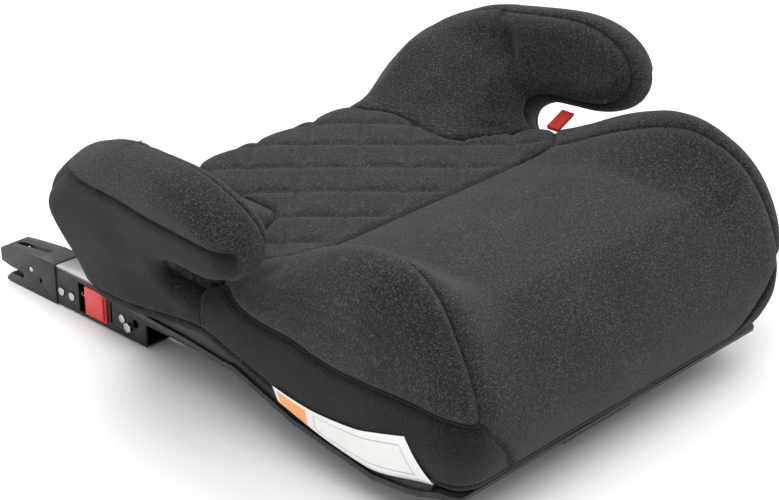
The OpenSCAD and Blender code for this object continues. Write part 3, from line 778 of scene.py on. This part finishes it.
@dataclass
class CoverForm:
    """The whole padded cover as one signed distance field, in millimetres."""

    front: float = -311.0
    corner: float = 36.0
    rear_corner: float = 22.0
    rear_centre: tuple[float, float] = (166, 119)
    arm: ArmForm = field(default_factory=ArmForm)
    side: list[tuple[float, float]] = field(
        default_factory=lambda: [(206, -209), (206, -50), (199, 40), (191, 100)]
    )
    centre: list[tuple[float, float]] = field(
        default_factory=lambda: [
            (-330, 156), (-276, 164), (-240, 168), (-205, 169), (-165, 167), (-125, 160), (-89, 152),
            (-60, 152), (-20, 155), (40, 159), (75, 161), (96, 160), (115, 156), (140, 147), (170, 134),
        ]
    )
    crest: list[tuple[float, float]] = field(
        default_factory=lambda: [
            (-340, 140), (-311, 151), (-300, 161), (-290, 172), (-275, 188), (-262, 198), (-246, 206),
            (-230, 212), (-215, 214), (-194, 212), (-173, 205), (-152, 196), (-131, 185), (-110, 173),
            (-87, 162), (-65, 154), (-50, 150), (-25, 148), (160, 146),
        ]
    )
    rim: list[tuple[float, float]] = field(
        default_factory=lambda: [
            (-340, 37), (-290, 39), (-275, 41), (-249, 37), (-218, 35), (-185, 42), (-165, 48),
            (-141, 56), (-119, 63), (-97, 71), (-74, 79), (-50, 86), (-27, 88), (0, 87), (25, 85),
            (50, 82), (75, 80), (98, 78), (115, 79), (145, 82), (220, 84),
        ]
    )

    def __post_init__(self) -> None:
        """Tables the plan outline's distance."""
        turn = np.radians(np.arange(-90, 1, 9))
        r = self.corner
        inset = self.side[0][0] - r
        right = [(inset + r * math.cos(a), self.front + r * (1 + math.sin(a))) for a in turn]
        right += self.side
        turn = np.radians(np.arange(0, 91, 18))
        (x, y), r = self.rear_centre, self.rear_corner
        right += [(x + r * math.cos(a), y + r * math.sin(a)) for a in turn]
        half = np.array(right)
        self.plan = Outline(np.vstack([half, half[::-1] * (-1, 1)]), 60.0)

    def hem(self, y: Array) -> Array:
        """Height of the cover's lower edge."""
        return along(self.rim, y)

    def top(self, x: Array, y: Array) -> Array:
        """Height of the seat, bolsters and the flanks that run up to the armrests, on the right half."""
        middle = along(self.centre, y)
        side = along(self.crest, y)
        out = smoothstep(112.0, 196.0, x)
        flank = 40.0 * smoothstep(-48.0, 0.0, y) * smoothstep(98.0, 190.0, x) ** 1.3
        height = middle * (1 - out) + side * out
        rise = smoothstep(-48.0, -5.0, y)
        return height * (1 - rise) + (middle + flank) * rise

    def wall(self, x: Array, y: Array, z: Array) -> Array:
        """Distance outside the walls, with the bulge over the hem and the drawn-in foot at the front."""
        ahead = smoothstep(-215.0, -285.0, y)
        low = np.clip((90.0 - z) / 56.0, 0.0, 1.4)
        front_in = 17.0 * low**2
        side_out = 11.0 * np.sin(np.pi * np.clip((z - 38.0) / 180.0, 0.0, 1.0)) - 1.0
        back = smoothstep(60.0, 120.0, y)
        lean = 0.30 * np.maximum(z - 75.0, 0.0) * back
        offset = -front_in * ahead + side_out * (1 - 0.55 * ahead) * (1 - back)
        return self.plan.distance(x, y + lean) - offset

    def seat(self, x: Array, y: Array, z: Array) -> Array:
        """Seat block without armrests, on the right half."""
        ahead = smoothstep(-215.0, -290.0, y) * smoothstep(215.0, 120.0, x)
        radius = 36.0 + 34.0 * ahead
        return round_and(z - self.top(x, y), self.wall(x, y, z), radius)

    def value(self, x: Array, y: Array, z: Array) -> Array:
        """The whole field: seat block and armrest joined by a fillet, cut off below the hem."""
        x = np.abs(x)
        fillet = 9.0 + 46.0 * smoothstep(-40.0, 50.0, y)
        body = smooth_or(self.seat(x, y, z), self.arm.distance(x, y, z), fillet)
        return round_and(body, self.hem(y) - z, 5.0)


class Panel(Enum):
    """Sewn panels of the cover, with the finish of each."""

    FRONT = ("front_cover", Finish.CLOTH)
    QUILT = ("quilted_cover", Finish.CLOTH)
    BOLSTER = ("bolster_cover", Finish.CLOTH)
    SKIRT = ("side_skirt", Finish.SIDE_CLOTH)
    REAR = ("rear_skirt", Finish.SIDE_CLOTH)
    HEM = ("hem_binding", Finish.SIDE_CLOTH)
    ARM_OUTER = ("armrest_outer_cover", Finish.SIDE_CLOTH)
    ARM_INNER = ("armrest_inner_cover", Finish.CLOTH)
    ARM_BAND = ("armrest_band", Finish.CLOTH)


@dataclass(frozen=True)
class Crease:
    """A pulled fold in the cloth: a valley from start to end with a soft ridge on each side."""

    start: tuple[float, float, float]
    end: tuple[float, float, float]
    depth: float
    width: float

    def sink(self, p: Array) -> Array:
        """How far each point sinks.

        The fold is depth * (exp(-s^2) - 0.45 exp(-(s - 2)^2 / 1.4)), where s is the distance to the line
        in widths, and it fades out along the line from its start to its end.
        """
        a, b = np.array(self.start), np.array(self.end)
        edge = b - a
        t = np.clip((p - a) @ edge / (edge @ edge), 0.0, 1.0)
        s = np.linalg.norm(p - a - t[:, None] * edge, axis=1) / self.width
        fade = np.sin(np.pi * np.clip(0.12 + 0.88 * (1 - t), 0.0, 1.0)) ** 0.6
        return self.depth * fade * (np.exp(-(s**2)) - 0.4 * np.exp(-((s - 2.0) ** 2) / 1.3))


@dataclass
class Cover:
    """The padded cover: its form, seams, quilting, creases and panels."""

    form: CoverForm = field(default_factory=CoverForm)
    pitch: float = 3.0
    wall: float = 2.4
    quilt_pitch: float = 45.0
    quilt_turn: float = math.radians(40.0)
    quilt_depth: float = 2.3
    seam_sink: float = 2.6
    puff: float = 2.4
    break_y: float = -89.0
    box_low: tuple[float, float, float] = (-276.0, -326.0, 22.0)
    box_high: tuple[float, float, float] = (276.0, 206.0, 274.0)
    outer_seam: Curve = (
        (150, 160), (120, 178), (104, 185), (77, 195), (51, 203), (26, 208), (2, 208), (-22, 205),
        (-45, 202), (-67, 198), (-90, 195), (-112, 196), (-140, 204),
    )
    front_width: Curve = (
        (-330, 189), (-290, 187), (-258, 179), (-220, 172), (-181, 166), (-141, 161), (-97, 155), (-60, 150),
    )
    piping_side: Curve = (
        (-330, 96), (-300, 108), (-268, 114), (-230, 115), (-190, 116), (-165, 119), (-145, 123),
        (-122, 125), (-104, 127), (-82, 133), (-68, 138), (-52, 146), (-20, 160),
    )
    piping_front: Curve = ((100, -90), (135, 34), (147, 56), (160, 75), (180, 97), (192, 115), (215, 150))
    seat_width: Curve = (
        (-60, 214), (-46, 190), (-40, 165), (-32, 135), (-18, 110), (5, 106), (35, 109), (60, 107),
        (85, 97), (120, 92), (160, 90),
    )
    middle_line: Curve = (
        (-296, 30), (-308, 70), (-311, 92), (-305, 120), (-285, 145), (-250, 160), (-205, 169),
        (-125, 160), (-89, 152), (-20, 156), (96, 166), (120, 150), (141, 75),
    )

    def break_line(self, x: Array) -> Array:
        """Where the seat and front panel meet: straight, then running back to the belt guide."""
        return self.break_y - 3.0 + 3.0 * smoothstep(150.0, 120.0, x) + 0.72 * np.maximum(x - 155.0, 0.0)

    def front_seam(self, y: Array) -> Array:
        """Half width of the front panel at its side seams."""
        return along(self.front_width, y)

    def piping_height(self, x: Array, y: Array) -> Array:
        """Height of the piping: level along the side, then diving over the front corner to the hem."""
        return np.minimum(along(self.piping_side, y), along(self.piping_front, x))

    def seat_arm_seam(self, y: Array) -> Array:
        """Half width of the seat where it meets the armrest panels."""
        return along(self.seat_width, y)

    def arm_parts(self, x: Array, y: Array, z: Array) -> tuple[Array, Array]:
        """How far each point lies outside the outer seam and inside the inner seam of the armrest."""
        across, up = self.form.arm.local(x, y, z)
        rise = smoothstep(10.0, 95.0, up)
        edge = across - (-24.0 * (1 - rise) + (self.form.arm.outer(up) - 10.0) * rise)
        outer = np.minimum(edge, along(self.outer_seam, y) - z)
        inner = (self.form.arm.inner(up, y) + 9.0) - across
        return outer, inner

    def build(self) -> None:
        """Makes every panel, the seam lines and the piping."""
        net = SurfaceNet(self.form.value, np.array(self.box_low), np.array(self.box_high), self.pitch)
        net.settle()
        net.relax()
        points, quads = net.points, net.quads
        log.info("cover form: %d points, %d quads", len(points), len(quads))
        self.snap(points, net)
        labels, sides = self.sort(points, quads, net)
        normal = net.slope(points)
        normal /= np.maximum(np.linalg.norm(normal, axis=1, keepdims=True), 1e-6)
        sink, dark = self.relief(points, normal)
        shaped = points - normal * sink[:, None]
        self.panels(points, shaped, quads, labels, sides, dark)
        self.cords(points, shaped, normal, quads, labels, sides)

    def potentials(self, points: Array) -> dict[str, tuple[Array, Array]]:
        """Signed distance to each seam, and where that seam exists.

        Args:
            points: places on the cover.

        Returns:
            For each seam's name, the distances and a mask.
        """
        x, y, z = np.abs(points[:, 0]), points[:, 1], points[:, 2]
        form = self.form
        arm = self.arm_mask(points)
        outer, inner = self.arm_parts(x, y, z)
        pipe = z - self.piping_height(x, y)
        above = pipe > 0
        line = self.break_line(x)
        hem = z - (form.hem(y) + 9.0)
        return {
            "hem": (hem, ~arm | (z < form.hem(y) + 14.0)),
            "piping": (pipe, ~arm & (x > 128) & (y < line + 4) & (hem > -2)),
            "break": (y - line, ~arm & above & (z > 120)),
            "front": (x - self.front_seam(y), ~arm & above & (y < line) & (z > form.hem(y))),
            "seat_arm": (x - self.seat_arm_seam(y), (y > -48) & (z > 130) & (inner > -6)),
            "arm_outer": (outer, arm),
            "arm_inner": (inner, arm & (outer < 0)),
            "rear": (z - 138.0, ~arm & (y > 80)),
        }

    def arm_mask(self, points: Array) -> Array:
        """Whether each point lies on an armrest panel."""
        x, y, z = np.abs(points[:, 0]), points[:, 1], points[:, 2]
        nearer = self.form.arm.distance(x, y, z) < self.form.seat(x, y, z)
        flank = (x > self.seat_arm_seam(y)) & (y > -44) & (z > 78)
        return (nearer & ((z > 150) | (y > -42))) | flank

    def snap(self, points: Array, net: SurfaceNet) -> None:
        """Slides the points next to a seam onto it, so that the panels' edges run smooth.

        Args:
            points: places on the cover, changed in place.
            net: the surface they lie on.
        """
        for name in self.potentials(points):
            value, mask = self.potentials(points)[name]
            slope = np.zeros_like(points)
            for axis in range(3):
                ahead = points.copy()
                ahead[:, axis] += 0.5
                slope[:, axis] = (self.potentials(ahead)[name][0] - value) / 0.5
            normal = net.slope(points)
            normal /= np.maximum(np.linalg.norm(normal, axis=1, keepdims=True), 1e-6)
            slope -= normal * (slope * normal).sum(1, keepdims=True)
            size = (slope * slope).sum(1)
            distance = np.abs(value) / np.sqrt(np.maximum(size, 0.04))
            near = mask & (distance < self.pitch * 0.52) & (size > 0.04)
            points[near] -= slope[near] * (value[near] / size[near])[:, None]

    def sort(self, points: Array, quads: Array, net: SurfaceNet) -> tuple[Array, Array]:
        """Gives each quad its panel.

        Args:
            points: places on the cover.
            quads: corner numbers.
            net: the surface they lie on.

        Returns:
            The panel's number for each quad, or -1 for the open underside, and -1 or 1 for its side.
        """
        mid = points[quads].mean(1)
        order = list(Panel)
        seams = self.potentials(mid)
        x, y, z = np.abs(mid[:, 0]), mid[:, 1], mid[:, 2]
        arm = self.arm_mask(mid)
        label = np.full(len(quads), order.index(Panel.QUILT))
        label[seams["break"][0] < 0] = order.index(Panel.FRONT)
        label[(seams["break"][0] < 0) & (seams["front"][0] > 0)] = order.index(Panel.BOLSTER)
        label[(seams["rear"][0] < 0) & (y > 60)] = order.index(Panel.REAR)
        skirt = (seams["piping"][0] < 0) & (x > 128) & (y < 60)
        label[skirt] = order.index(Panel.SKIRT)
        label[arm] = order.index(Panel.ARM_BAND)
        label[arm & (seams["arm_outer"][0] > 0)] = order.index(Panel.ARM_OUTER)
        label[arm & (seams["arm_inner"][0] > 0)] = order.index(Panel.ARM_INNER)
        label[(seams["hem"][0] < 0) & ~((z > 70) & (y > 141))] = order.index(Panel.HEM)
        normal = net.slope(mid)
        normal /= np.maximum(np.linalg.norm(normal, axis=1, keepdims=True), 1e-6)
        under = (normal[:, 2] < -0.6) & (z < self.form.hem(y) + 3.5) & (self.form.plan.distance(x, y) < -9)
        label[under] = -1
        return label, np.where(mid[:, 0] < 0, -1, 1)

    def relief(self, points: Array, normal: Array) -> tuple[Array, Array]:
        """How far each point sinks below the plain form, and its darkness: seam lines and painted crease
        shade.

        Each seam pulls the cloth down by depth * exp(-(d / w)^2), and padding rises away from it as
        1 - exp(-d / 20). The quilting does the same along two sets of slanting lines. Each crease's valley
        is darkened with painted shade.

        Args:
            points: places on the cover.
            normal: outward directions.

        Returns:
            Sink in millimetres and darkness from 0 to 1, painted crease shade included.
        """
        seams = self.potentials(points)
        x, y, z = np.abs(points[:, 0]), points[:, 1], points[:, 2]
        sink = np.zeros(len(points))
        dark = np.zeros(len(points))
        near = np.full(len(points), 60.0)
        fade = {
            "hem": 0.35,
            "rear": 0.5,
            "seat_arm": 0.9,
            "break": 1.25,
            "front": 0.75,
            "arm_outer": smoothstep(20.0, 60.0, z - 70.0),
            "arm_inner": 0.15 + 0.85 * smoothstep(40.0, -40.0, y),
            "piping": 1.2,
        }
        for name, (value, mask) in seams.items():
            gap = np.where(mask, np.abs(value), 60.0)
            weight = fade[name]
            sink += weight * self.seam_sink * np.exp(-((gap / 3.4) ** 2))
            near = np.where(mask & (np.asarray(weight) > 0.3), np.minimum(near, gap), near)
            dark = np.maximum(dark, weight * 0.9 * np.exp(-((gap / 1.7) ** 2)))
        sink -= self.puff * (1 - np.exp(-near / 20.0)) * smoothstep(40.0, 75.0, z)
        quilt = (y > self.break_line(x)) & (x < self.seat_arm_seam(y)) & (normal[:, 2] > 0.5)
        fall = np.where(quilt, smoothstep(0.0, 16.0, y - self.break_line(x)), 0.0)
        lift = np.ones(len(points))
        for turn in (self.quilt_turn, -self.quilt_turn):
            across = points[:, 0] * math.sin(turn) - y * math.cos(turn)
            phase = np.abs((across / self.quilt_pitch) % 1.0 - 0.5) * 2.0
            gap = (1.0 - phase) * self.quilt_pitch / 2
            sink += fall * self.quilt_depth * 0.6 * np.exp(-((gap / 2.6) ** 2))
            dark = np.maximum(dark, fall * 0.16 * np.exp(-((gap / 1.4) ** 2)))
            lift = np.minimum(lift, 1 - np.exp(-gap / 9.0))
        sink -= fall * self.quilt_depth * (lift - 0.5)
        for crease in self.creases():
            for sign in (-1, 1):
                fold = crease.sink(points * (sign, 1, 1))
                sink += fold
                # painted shade: each crease's valley is darkened in the cloth's colour
                dark = np.maximum(dark, 0.09 * fold)
        sink += self.ripple(points)
        return sink, np.clip(dark, 0.0, 1.0)

    def ripple(self, p: Array) -> Array:
        """Slow unevenness of padded cloth: a few sines of 60 to 160 mm, under a millimetre high."""
        x, y, z = p.T / 25.0
        cloudy = np.sin(x + 1.7 * np.sin(y * 0.7 + 0.4)) * np.sin(y * 1.1 + 0.6 * z)
        return 0.35 * (cloudy + 0.6 * np.sin(1.9 * y + 1.3 * x + z))

    def creases(self) -> list[Crease]:
        """Folds that fan out from the rear end of each belt gap, and pulls on the bolsters."""
        return [
            Crease((206, -22, 162), (186, 62, 184), 8.0, 5.0),
            Crease((204, -22, 156), (176, 44, 166), 6.5, 4.4),
            Crease((200, -24, 150), (158, 30, 160), 5.0, 5.0),
            Crease((208, -18, 172), (205, 4, 222), 5.0, 5.5),
            Crease((228, -20, 164), (222, 50, 150), 5.0, 6.0),
            Crease((190, -44, 150), (128, -24, 163), 1.8, 5.0),
            Crease((203, -60, 140), (206, -150, 150), 1.9, 6.0),
            Crease((205, -70, 132), (200, -120, 168), 1.6, 5.5),
            Crease((120, -300, 96), (196, -255, 150), 1.0, 8.0),
            Crease((60, -309, 70), (150, -302, 96), 0.8, 8.0),
        ]

    def cloth_map(self, panel: Panel, p: Array) -> Array:
        """Place of each point on the flat cloth, in metres.

        Side panels use (y, z). The others use x across, and the run of the middle line from the hem over
        the nose to the rear edge, read at the nearest point of that line.
        """
        if panel in (Panel.SKIRT, Panel.ARM_OUTER, Panel.ARM_INNER, Panel.HEM):
            return p[:, 1:3] * MM
        if panel is Panel.ARM_BAND:
            curve = self.form.arm.curve
            across, up = self.form.arm.local(np.abs(p[:, 0]), p[:, 1], p[:, 2])
            place = np.stack([p[:, 1], up], -1)
        else:
            curve = spline(self.middle_line, 6)
            across, place = p[:, 0], p[:, 1:3]
        run = np.concatenate([[0.0], np.cumsum(np.linalg.norm(np.diff(curve, axis=0), axis=1))])
        nearest = np.zeros(len(p))
        for start in range(0, len(p), 20000):
            part = place[start : start + 20000]
            rel = part[:, None, :] - curve[None, :-1, :]
            edge = np.diff(curve, axis=0)[None]
            t = np.clip((rel * edge).sum(-1) / (edge**2).sum(-1), 0.0, 1.0)
            gap = np.linalg.norm(rel - t[..., None] * edge, axis=-1)
            best = gap.argmin(1)
            row = np.arange(len(part))
            nearest[start : start + 20000] = run[best] + t[row, best] * np.linalg.norm(edge[0][best], axis=-1)
        return np.stack([across, nearest], -1) * MM

    def panels(
        self, flat: Array, shaped: Array, quads: Array, labels: Array, sides: Array, dark: Array
    ) -> None:
        """Makes one piece for each panel, with a wall.

        Args:
            flat: places on the plain form, which the cloth's map reads.
            shaped: the same places after seams and padding.
            quads: corner numbers.
            labels: each quad's panel.
            sides: each quad's side.
            dark: darkness at each point: seam lines and painted crease shade.
        """
        single = (Panel.FRONT, Panel.QUILT, Panel.REAR, Panel.HEM)
        soft = {
            Panel.QUILT: ["seat_foam"],
            Panel.BOLSTER: ["bolster_foam"],
            Panel.ARM_BAND: ["armrest_foam"],
        }
        for number, panel in enumerate(Panel):
            base, finish = panel.value
            for side, sign in (("", 0),) if panel in single else SIDES:
                pick = quads[(labels == number) & ((sign == 0) | (sides == sign))]
                used, inverse = np.unique(pick, return_inverse=True)
                suffix = f"_{side}" if side else ""
                uv = self.cloth_map(panel, flat[used])
                faces = inverse.reshape(-1, 4)
                seam = {"seam": dark[used]}
                made = add_mesh(f"{base}{suffix}_cloth", shaped[used] * MM, faces, finish, uv, seam)
                skin = made.modifiers.new("wall", "SOLIDIFY")
                skin.thickness = self.wall * MM
                skin.offset = -1.0
                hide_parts(*[n + suffix for n in [base, *soft.get(panel, [])]])
                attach(made, "seat_base")
                log.info("%s: %d quads", made.name, len(pick))

    def cords(
        self, flat: Array, shaped: Array, normal: Array, quads: Array, labels: Array, sides: Array
    ) -> None:
        """Lays a thin stitched line in each seam, and the piping along the side.

        Args:
            flat: places on the plain form.
            shaped: places after seams and padding.
            normal: outward directions.
            quads: corner numbers.
            labels: each quad's panel.
            sides: each quad's side.
        """
        order = list(Panel)
        a = quads.ravel()
        b = np.roll(quads, -1, 1).ravel()
        owner = np.repeat(np.arange(len(quads)), 4)
        key = np.minimum(a, b).astype(np.int64) * len(flat) + np.maximum(a, b)
        sort = np.argsort(key, kind="stable")
        key, owner = key[sort], owner[sort]
        pair = np.flatnonzero(key[:-1] == key[1:])
        first, second = owner[pair], owner[pair + 1]
        ends = np.stack([key[pair] // len(flat), key[pair] % len(flat)], -1)
        seams = [
            ("break_seam", (Panel.QUILT, Panel.FRONT), 0.55),
            ("rear_short_seam", (Panel.QUILT, Panel.BOLSTER), 0.55),
            ("front_seam", (Panel.FRONT, Panel.BOLSTER), 0.5),
            ("seat_arm_seam", (Panel.QUILT, Panel.ARM_INNER), 0.5),
            ("arm_outer_seam", (Panel.ARM_BAND, Panel.ARM_OUTER), 0.7),
            ("arm_inner_seam", (Panel.ARM_BAND, Panel.ARM_INNER), 0.5),
            ("piping", (Panel.BOLSTER, Panel.SKIRT), 1.25),
            ("piping_front", (Panel.FRONT, Panel.SKIRT), 1.25),
        ]
        for name, (p, q), radius in seams:
            la, lb = labels[first], labels[second]
            i, j = order.index(p), order.index(q)
            hit = ((la == i) & (lb == j)) | ((la == j) & (lb == i))
            for side, sign in SIDES:
                mine = ends[hit & (sides[first] == sign)]
                for count, chain in enumerate(self.chains(mine)):
                    if len(chain) < 8:
                        continue
                    if name == "arm_inner_seam":
                        chain = [v for v in chain if flat[v, 1] < -10]
                        if len(chain) < 8:
                            continue
                    proud = 0.55 if name.startswith("piping") else -0.1
                    path = shaped[chain] + normal[chain] * radius * proud
                    for _ in range(6):
                        path[1:-1] = 0.5 * path[1:-1] + 0.25 * (path[:-2] + path[2:])
                    label = f"{name}_{side}_{count}"
                    made = tube(label, path * MM, radius * MM, Finish.PIPING, 6)
                    if name == "piping" and count == 0:
                        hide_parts(f"piping_{side}")
                    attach(made, "seat_base")
                    log.info("%s: %d points", label, len(path))

    @staticmethod
    def chains(edges: Array) -> list[list[int]]:
        """Joins loose edges into open runs of points, longest first."""
        links: dict[int, list[int]] = {}
        for a, b in edges.tolist():
            links.setdefault(a, []).append(b)
            links.setdefault(b, []).append(a)
        runs: list[list[int]] = []
        seen: set[int] = set()
        starts = [v for v, n in links.items() if len(n) == 1] + list(links)
        for start in starts:
            if start in seen:
                continue
            run = [start]
            seen.add(start)
            while True:
                ahead = [n for n in links[run[-1]] if n not in seen]
                if not ahead:
                    break
                run.append(ahead[0])
                seen.add(ahead[0])
            runs.append(run)
        return sorted(runs, key=len, reverse=True)


# ---------------------------------------------------------------- hard parts


@dataclass
class HardParts:
    """Shell, tray and latch arms: frame pieces with rounded edges and real finishes."""

    def build(self) -> None:
        """Dresses every hard piece."""
        plain = [
            ("base_shell", Finish.SHELL, "seat_base", 0.8),
            ("bottom_tray", Finish.SHELL, "seat_base", 1.0),
            ("cross_tube", Finish.PLATE_STEEL, "latch_carriage", 0.3),
            ("length_rack", Finish.ARM_STEEL, "latch_carriage", 0.4),
            ("latch_rivets", Finish.BRIGHT_STEEL, "latch_carriage", 0.9),
            ("latch_bolts", Finish.BRIGHT_STEEL, "latch_carriage", 0.6),
            ("hook_pins", Finish.BRIGHT_STEEL, "latch_carriage", 0.3),
            ("adjuster_handle", Finish.SHELL, "length_adjuster", 2.5),
            ("adjuster_rod", Finish.PLATE_STEEL, "length_adjuster", 0.4),
            ("lock_pawl", Finish.ARM_STEEL, "length_adjuster", 0.5),
            ("tray_screws", Finish.BRIGHT_STEEL, "seat_base", 0.3),
            ("guide_screws", Finish.BRIGHT_STEEL, "seat_base", 0.3),
        ]
        for side, _ in SIDES:
            plain += [
                (f"guide_channel_{side}", Finish.SHELL, "seat_base", 1.0),
                (f"latch_channel_{side}", Finish.ARM_STEEL, "latch_carriage", 0.7),
                (f"latch_plate_{side}", Finish.PLATE_STEEL, "latch_carriage", 0.5),
                (f"slide_rail_{side}", Finish.PLATE_STEEL, "latch_carriage", 0.4),
                (f"jaw_housing_{side}", Finish.JAW, "latch_carriage", 1.2),
                (f"hook_{side}", Finish.BRIGHT_STEEL, f"hook_{side}", 0.5),
                (f"release_slider_{side}", Finish.RED, f"release_slider_{side}", 0.8),
            ]
        for node, finish, body, edge in plain:
            made = dressed(node, f"{node}_part", finish, edge * MM)
            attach(made, body)
            log.info("%s dressed", node)
        for node in ("release_spring_left", "release_spring_right", "adjuster_spring"):
            bpy.data.objects[node].data.materials.clear()
            bpy.data.objects[node].data.materials.append(Finish.BRIGHT_STEEL.material())


# ---------------------------------------------------------------- small soft parts


@dataclass
class Trim:
    """Belt guides and the side label."""

    tape_height: float = 21.0 * MM
    tape_radius: float = 1.5 * MM
    tape_lean: float = math.radians(58.0)
    tape_root: tuple[float, float] = (203.0 * MM, 147.0 * MM)
    tape_edges: tuple[float, float] = (-59.5 * MM, -46.5 * MM)
    label_top: Curve = ((-122, 77), (-144, 73), (-170, 71), (-208, 74), (-232, 80), (-260, 88))
    label_low: Curve = ((-126, 64), (-146, 57), (-170, 50), (-208, 43), (-236, 42), (-277, 48))
    label_proud: float = 3.4

    def build(self) -> None:
        """Makes each piece."""
        for side, sign in SIDES:
            self.belt_guide(side, sign)
        self.label()

    def belt_guide(self, side: str, sign: int) -> None:
        """Folded loop of red tape that leans out over the seam.

        The tape's middle line goes up, over a round top and down again: two straight legs and a half
        circle, and each point of the line carries the tape's width along Y.
        """
        height, radius = self.tape_height, self.tape_radius
        turn = np.linspace(0, math.pi, 9)
        line = np.vstack(
            [
                np.stack([np.full(6, -radius), np.linspace(0, height, 6)], -1),
                np.stack([-radius * np.cos(turn), height + radius * np.sin(turn)], -1)[1:-1],
                np.stack([np.full(6, radius), np.linspace(height, 0, 6)], -1),
            ]
        )
        lean = self.tape_lean
        root_x, root_z = self.tape_root
        x = root_x + line[:, 0] * math.cos(lean) + line[:, 1] * math.sin(lean)
        z = root_z - line[:, 0] * math.sin(lean) + line[:, 1] * math.cos(lean)
        y = np.linspace(*self.tape_edges, 7)
        rows, cols = np.meshgrid(np.arange(len(x)), np.arange(len(y)), indexing="ij")
        skew = (z[rows] - z.min()) * -0.25
        points = np.stack([sign * x[rows], y[cols] + skew, z[rows]], -1).reshape(-1, 3)
        i, j = np.meshgrid(np.arange(len(x) - 1), np.arange(len(y) - 1), indexing="ij")
        n = len(y)
        here, ahead = i * n + j, (i + 1) * n + j
        quads = np.stack([here, here + 1, ahead + 1, ahead], -1).reshape(-1, 4)
        if sign < 0:
            quads = quads[:, ::-1]
        run = np.concatenate([[0.0], np.cumsum(np.linalg.norm(np.diff(line, axis=0), axis=1))])
        shape = (len(x), n)
        uv = np.stack([np.broadcast_to(y, shape), np.broadcast_to(run[:, None], shape)], -1).reshape(-1, 2)
        made = add_mesh(f"belt_guide_{side}_tape", points, quads, Finish.RED_TAPE, uv)
        skin = made.modifiers.new("wall", "SOLIDIFY")
        skin.thickness = 1.0 * MM
        skin.offset = 0.0
        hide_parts(f"belt_guide_{side}")
        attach(made, "seat_base")
        log.info("belt guide %s", side)

    def label(self) -> None:
        """Blank film label on the left wall: a four-cornered patch laid on the cover's form."""
        form = CoverForm()
        rows, cols = 13, 49
        upper = spline(self.label_top, 10)
        lower = spline(self.label_low, 10)
        v, u = np.meshgrid(np.linspace(0, 1, rows), np.linspace(0, 1, cols), indexing="ij")
        reach = np.linspace(0, 1, len(upper))
        top = np.stack([np.interp(u, reach, upper[:, k]) for k in (0, 1)], -1)
        low = np.stack([np.interp(u, reach, lower[:, k]) for k in (0, 1)], -1)
        place = (low * (1 - v)[..., None] + top * v[..., None]).reshape(-1, 2)
        x = np.full(len(place), -200.0)
        for _ in range(30):
            f = form.value(x, place[:, 0], place[:, 1])
            x += np.clip(f, -3.0, 3.0)
        points = np.stack([x - self.label_proud, place[:, 0], place[:, 1]], -1)
        i, j = np.meshgrid(np.arange(rows - 1), np.arange(cols - 1), indexing="ij")
        here, ahead = i * cols + j, (i + 1) * cols + j
        quads = np.stack([here, ahead, ahead + 1, here + 1], -1).reshape(-1, 4)
        uv = np.stack([u.ravel(), v.ravel()], -1)
        made = add_mesh("side_label_film", points * MM, quads, Finish.LABEL, uv)
        skin = made.modifiers.new("wall", "SOLIDIFY")
        skin.thickness = 0.5 * MM
        skin.offset = 0.0
        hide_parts("side_label")
        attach(made, "seat_base")
        log.info("side label")


# ---------------------------------------------------------------- studio


@dataclass
class Studio:
    """Pale floor, soft lights and the camera."""

    azimuth: float = -46.4
    elevation: float = 25.7
    distance: float = 1.9
    target: tuple[float, float, float] = (0.087, 0.041, 0.034)
    lens: float = 94.74
    floor_half: float = 6.0
    lights_aim: tuple[float, float, float] = (0.0, -0.05, 0.1)

    def build(self) -> None:
        """Makes the camera, floor, world and lights."""
        a, e = math.radians(self.azimuth), math.radians(self.elevation)
        back = Vector((math.sin(a) * math.cos(e), -math.cos(a) * math.cos(e), math.sin(e)))
        camera = bpy.data.objects.new("camera", bpy.data.cameras.new("camera"))
        bpy.context.scene.collection.objects.link(camera)
        camera.location = Vector(self.target) + back * self.distance
        camera.rotation_euler = (-back).to_track_quat("-Z", "Y").to_euler()
        camera.data.lens = self.lens
        camera.data.sensor_width = 36.0
        camera.data.clip_end = 50.0
        bpy.context.scene.camera = camera
        square = np.array([[-1.0, -1, 0], [1, -1, 0], [1, 1, 0], [-1, 1, 0]])
        floor = add_mesh("floor", square * self.floor_half, np.array([[0, 1, 2, 3]]), Finish.FLOOR)
        world = bpy.data.worlds.new("studio")
        bpy.context.scene.world = world
        world.use_nodes = True
        world.node_tree.nodes["Background"].inputs[0].default_value = (1.0, 1.0, 1.0, 1.0)
        world.node_tree.nodes["Background"].inputs[1].default_value = 0.72
        self.lamp("key", (-1.0, -0.9, 2.1), 1.6, 38.0)
        self.lamp("fill", (1.6, -0.6, 1.8), 1.6, 12.0)
        self.lamp("back", (0.4, 1.5, 2.0), 1.4, 24.0)
        bpy.context.scene.view_settings.view_transform = "Standard"

    def lamp(self, name: str, place: tuple[float, float, float], size: float, power: float) -> None:
        """Adds a soft square light that faces the seat."""
        data = bpy.data.lights.new(name, "AREA")
        data.size = size
        data.energy = power
        made = bpy.data.objects.new(name, data)
        bpy.context.scene.collection.objects.link(made)
        made.location = place
        aim = Vector(self.lights_aim) - Vector(place)
        made.rotation_euler = aim.to_track_quat("-Z", "Y").to_euler()


def corners(pair: Iterable[Vector]) -> list[list[float]]:
    """A box's two corners as plain numbers."""
    return [[float(c) for c in corner] for corner in pair]


def main() -> None:
    """Builds the seat around its frame."""
    logging.basicConfig(level=logging.INFO, format="%(name)s: %(message)s")
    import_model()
    Studio().build()
    Cover().build()
    HardParts().build()
    Trim().build()


if __name__ == "__main__":
    main()
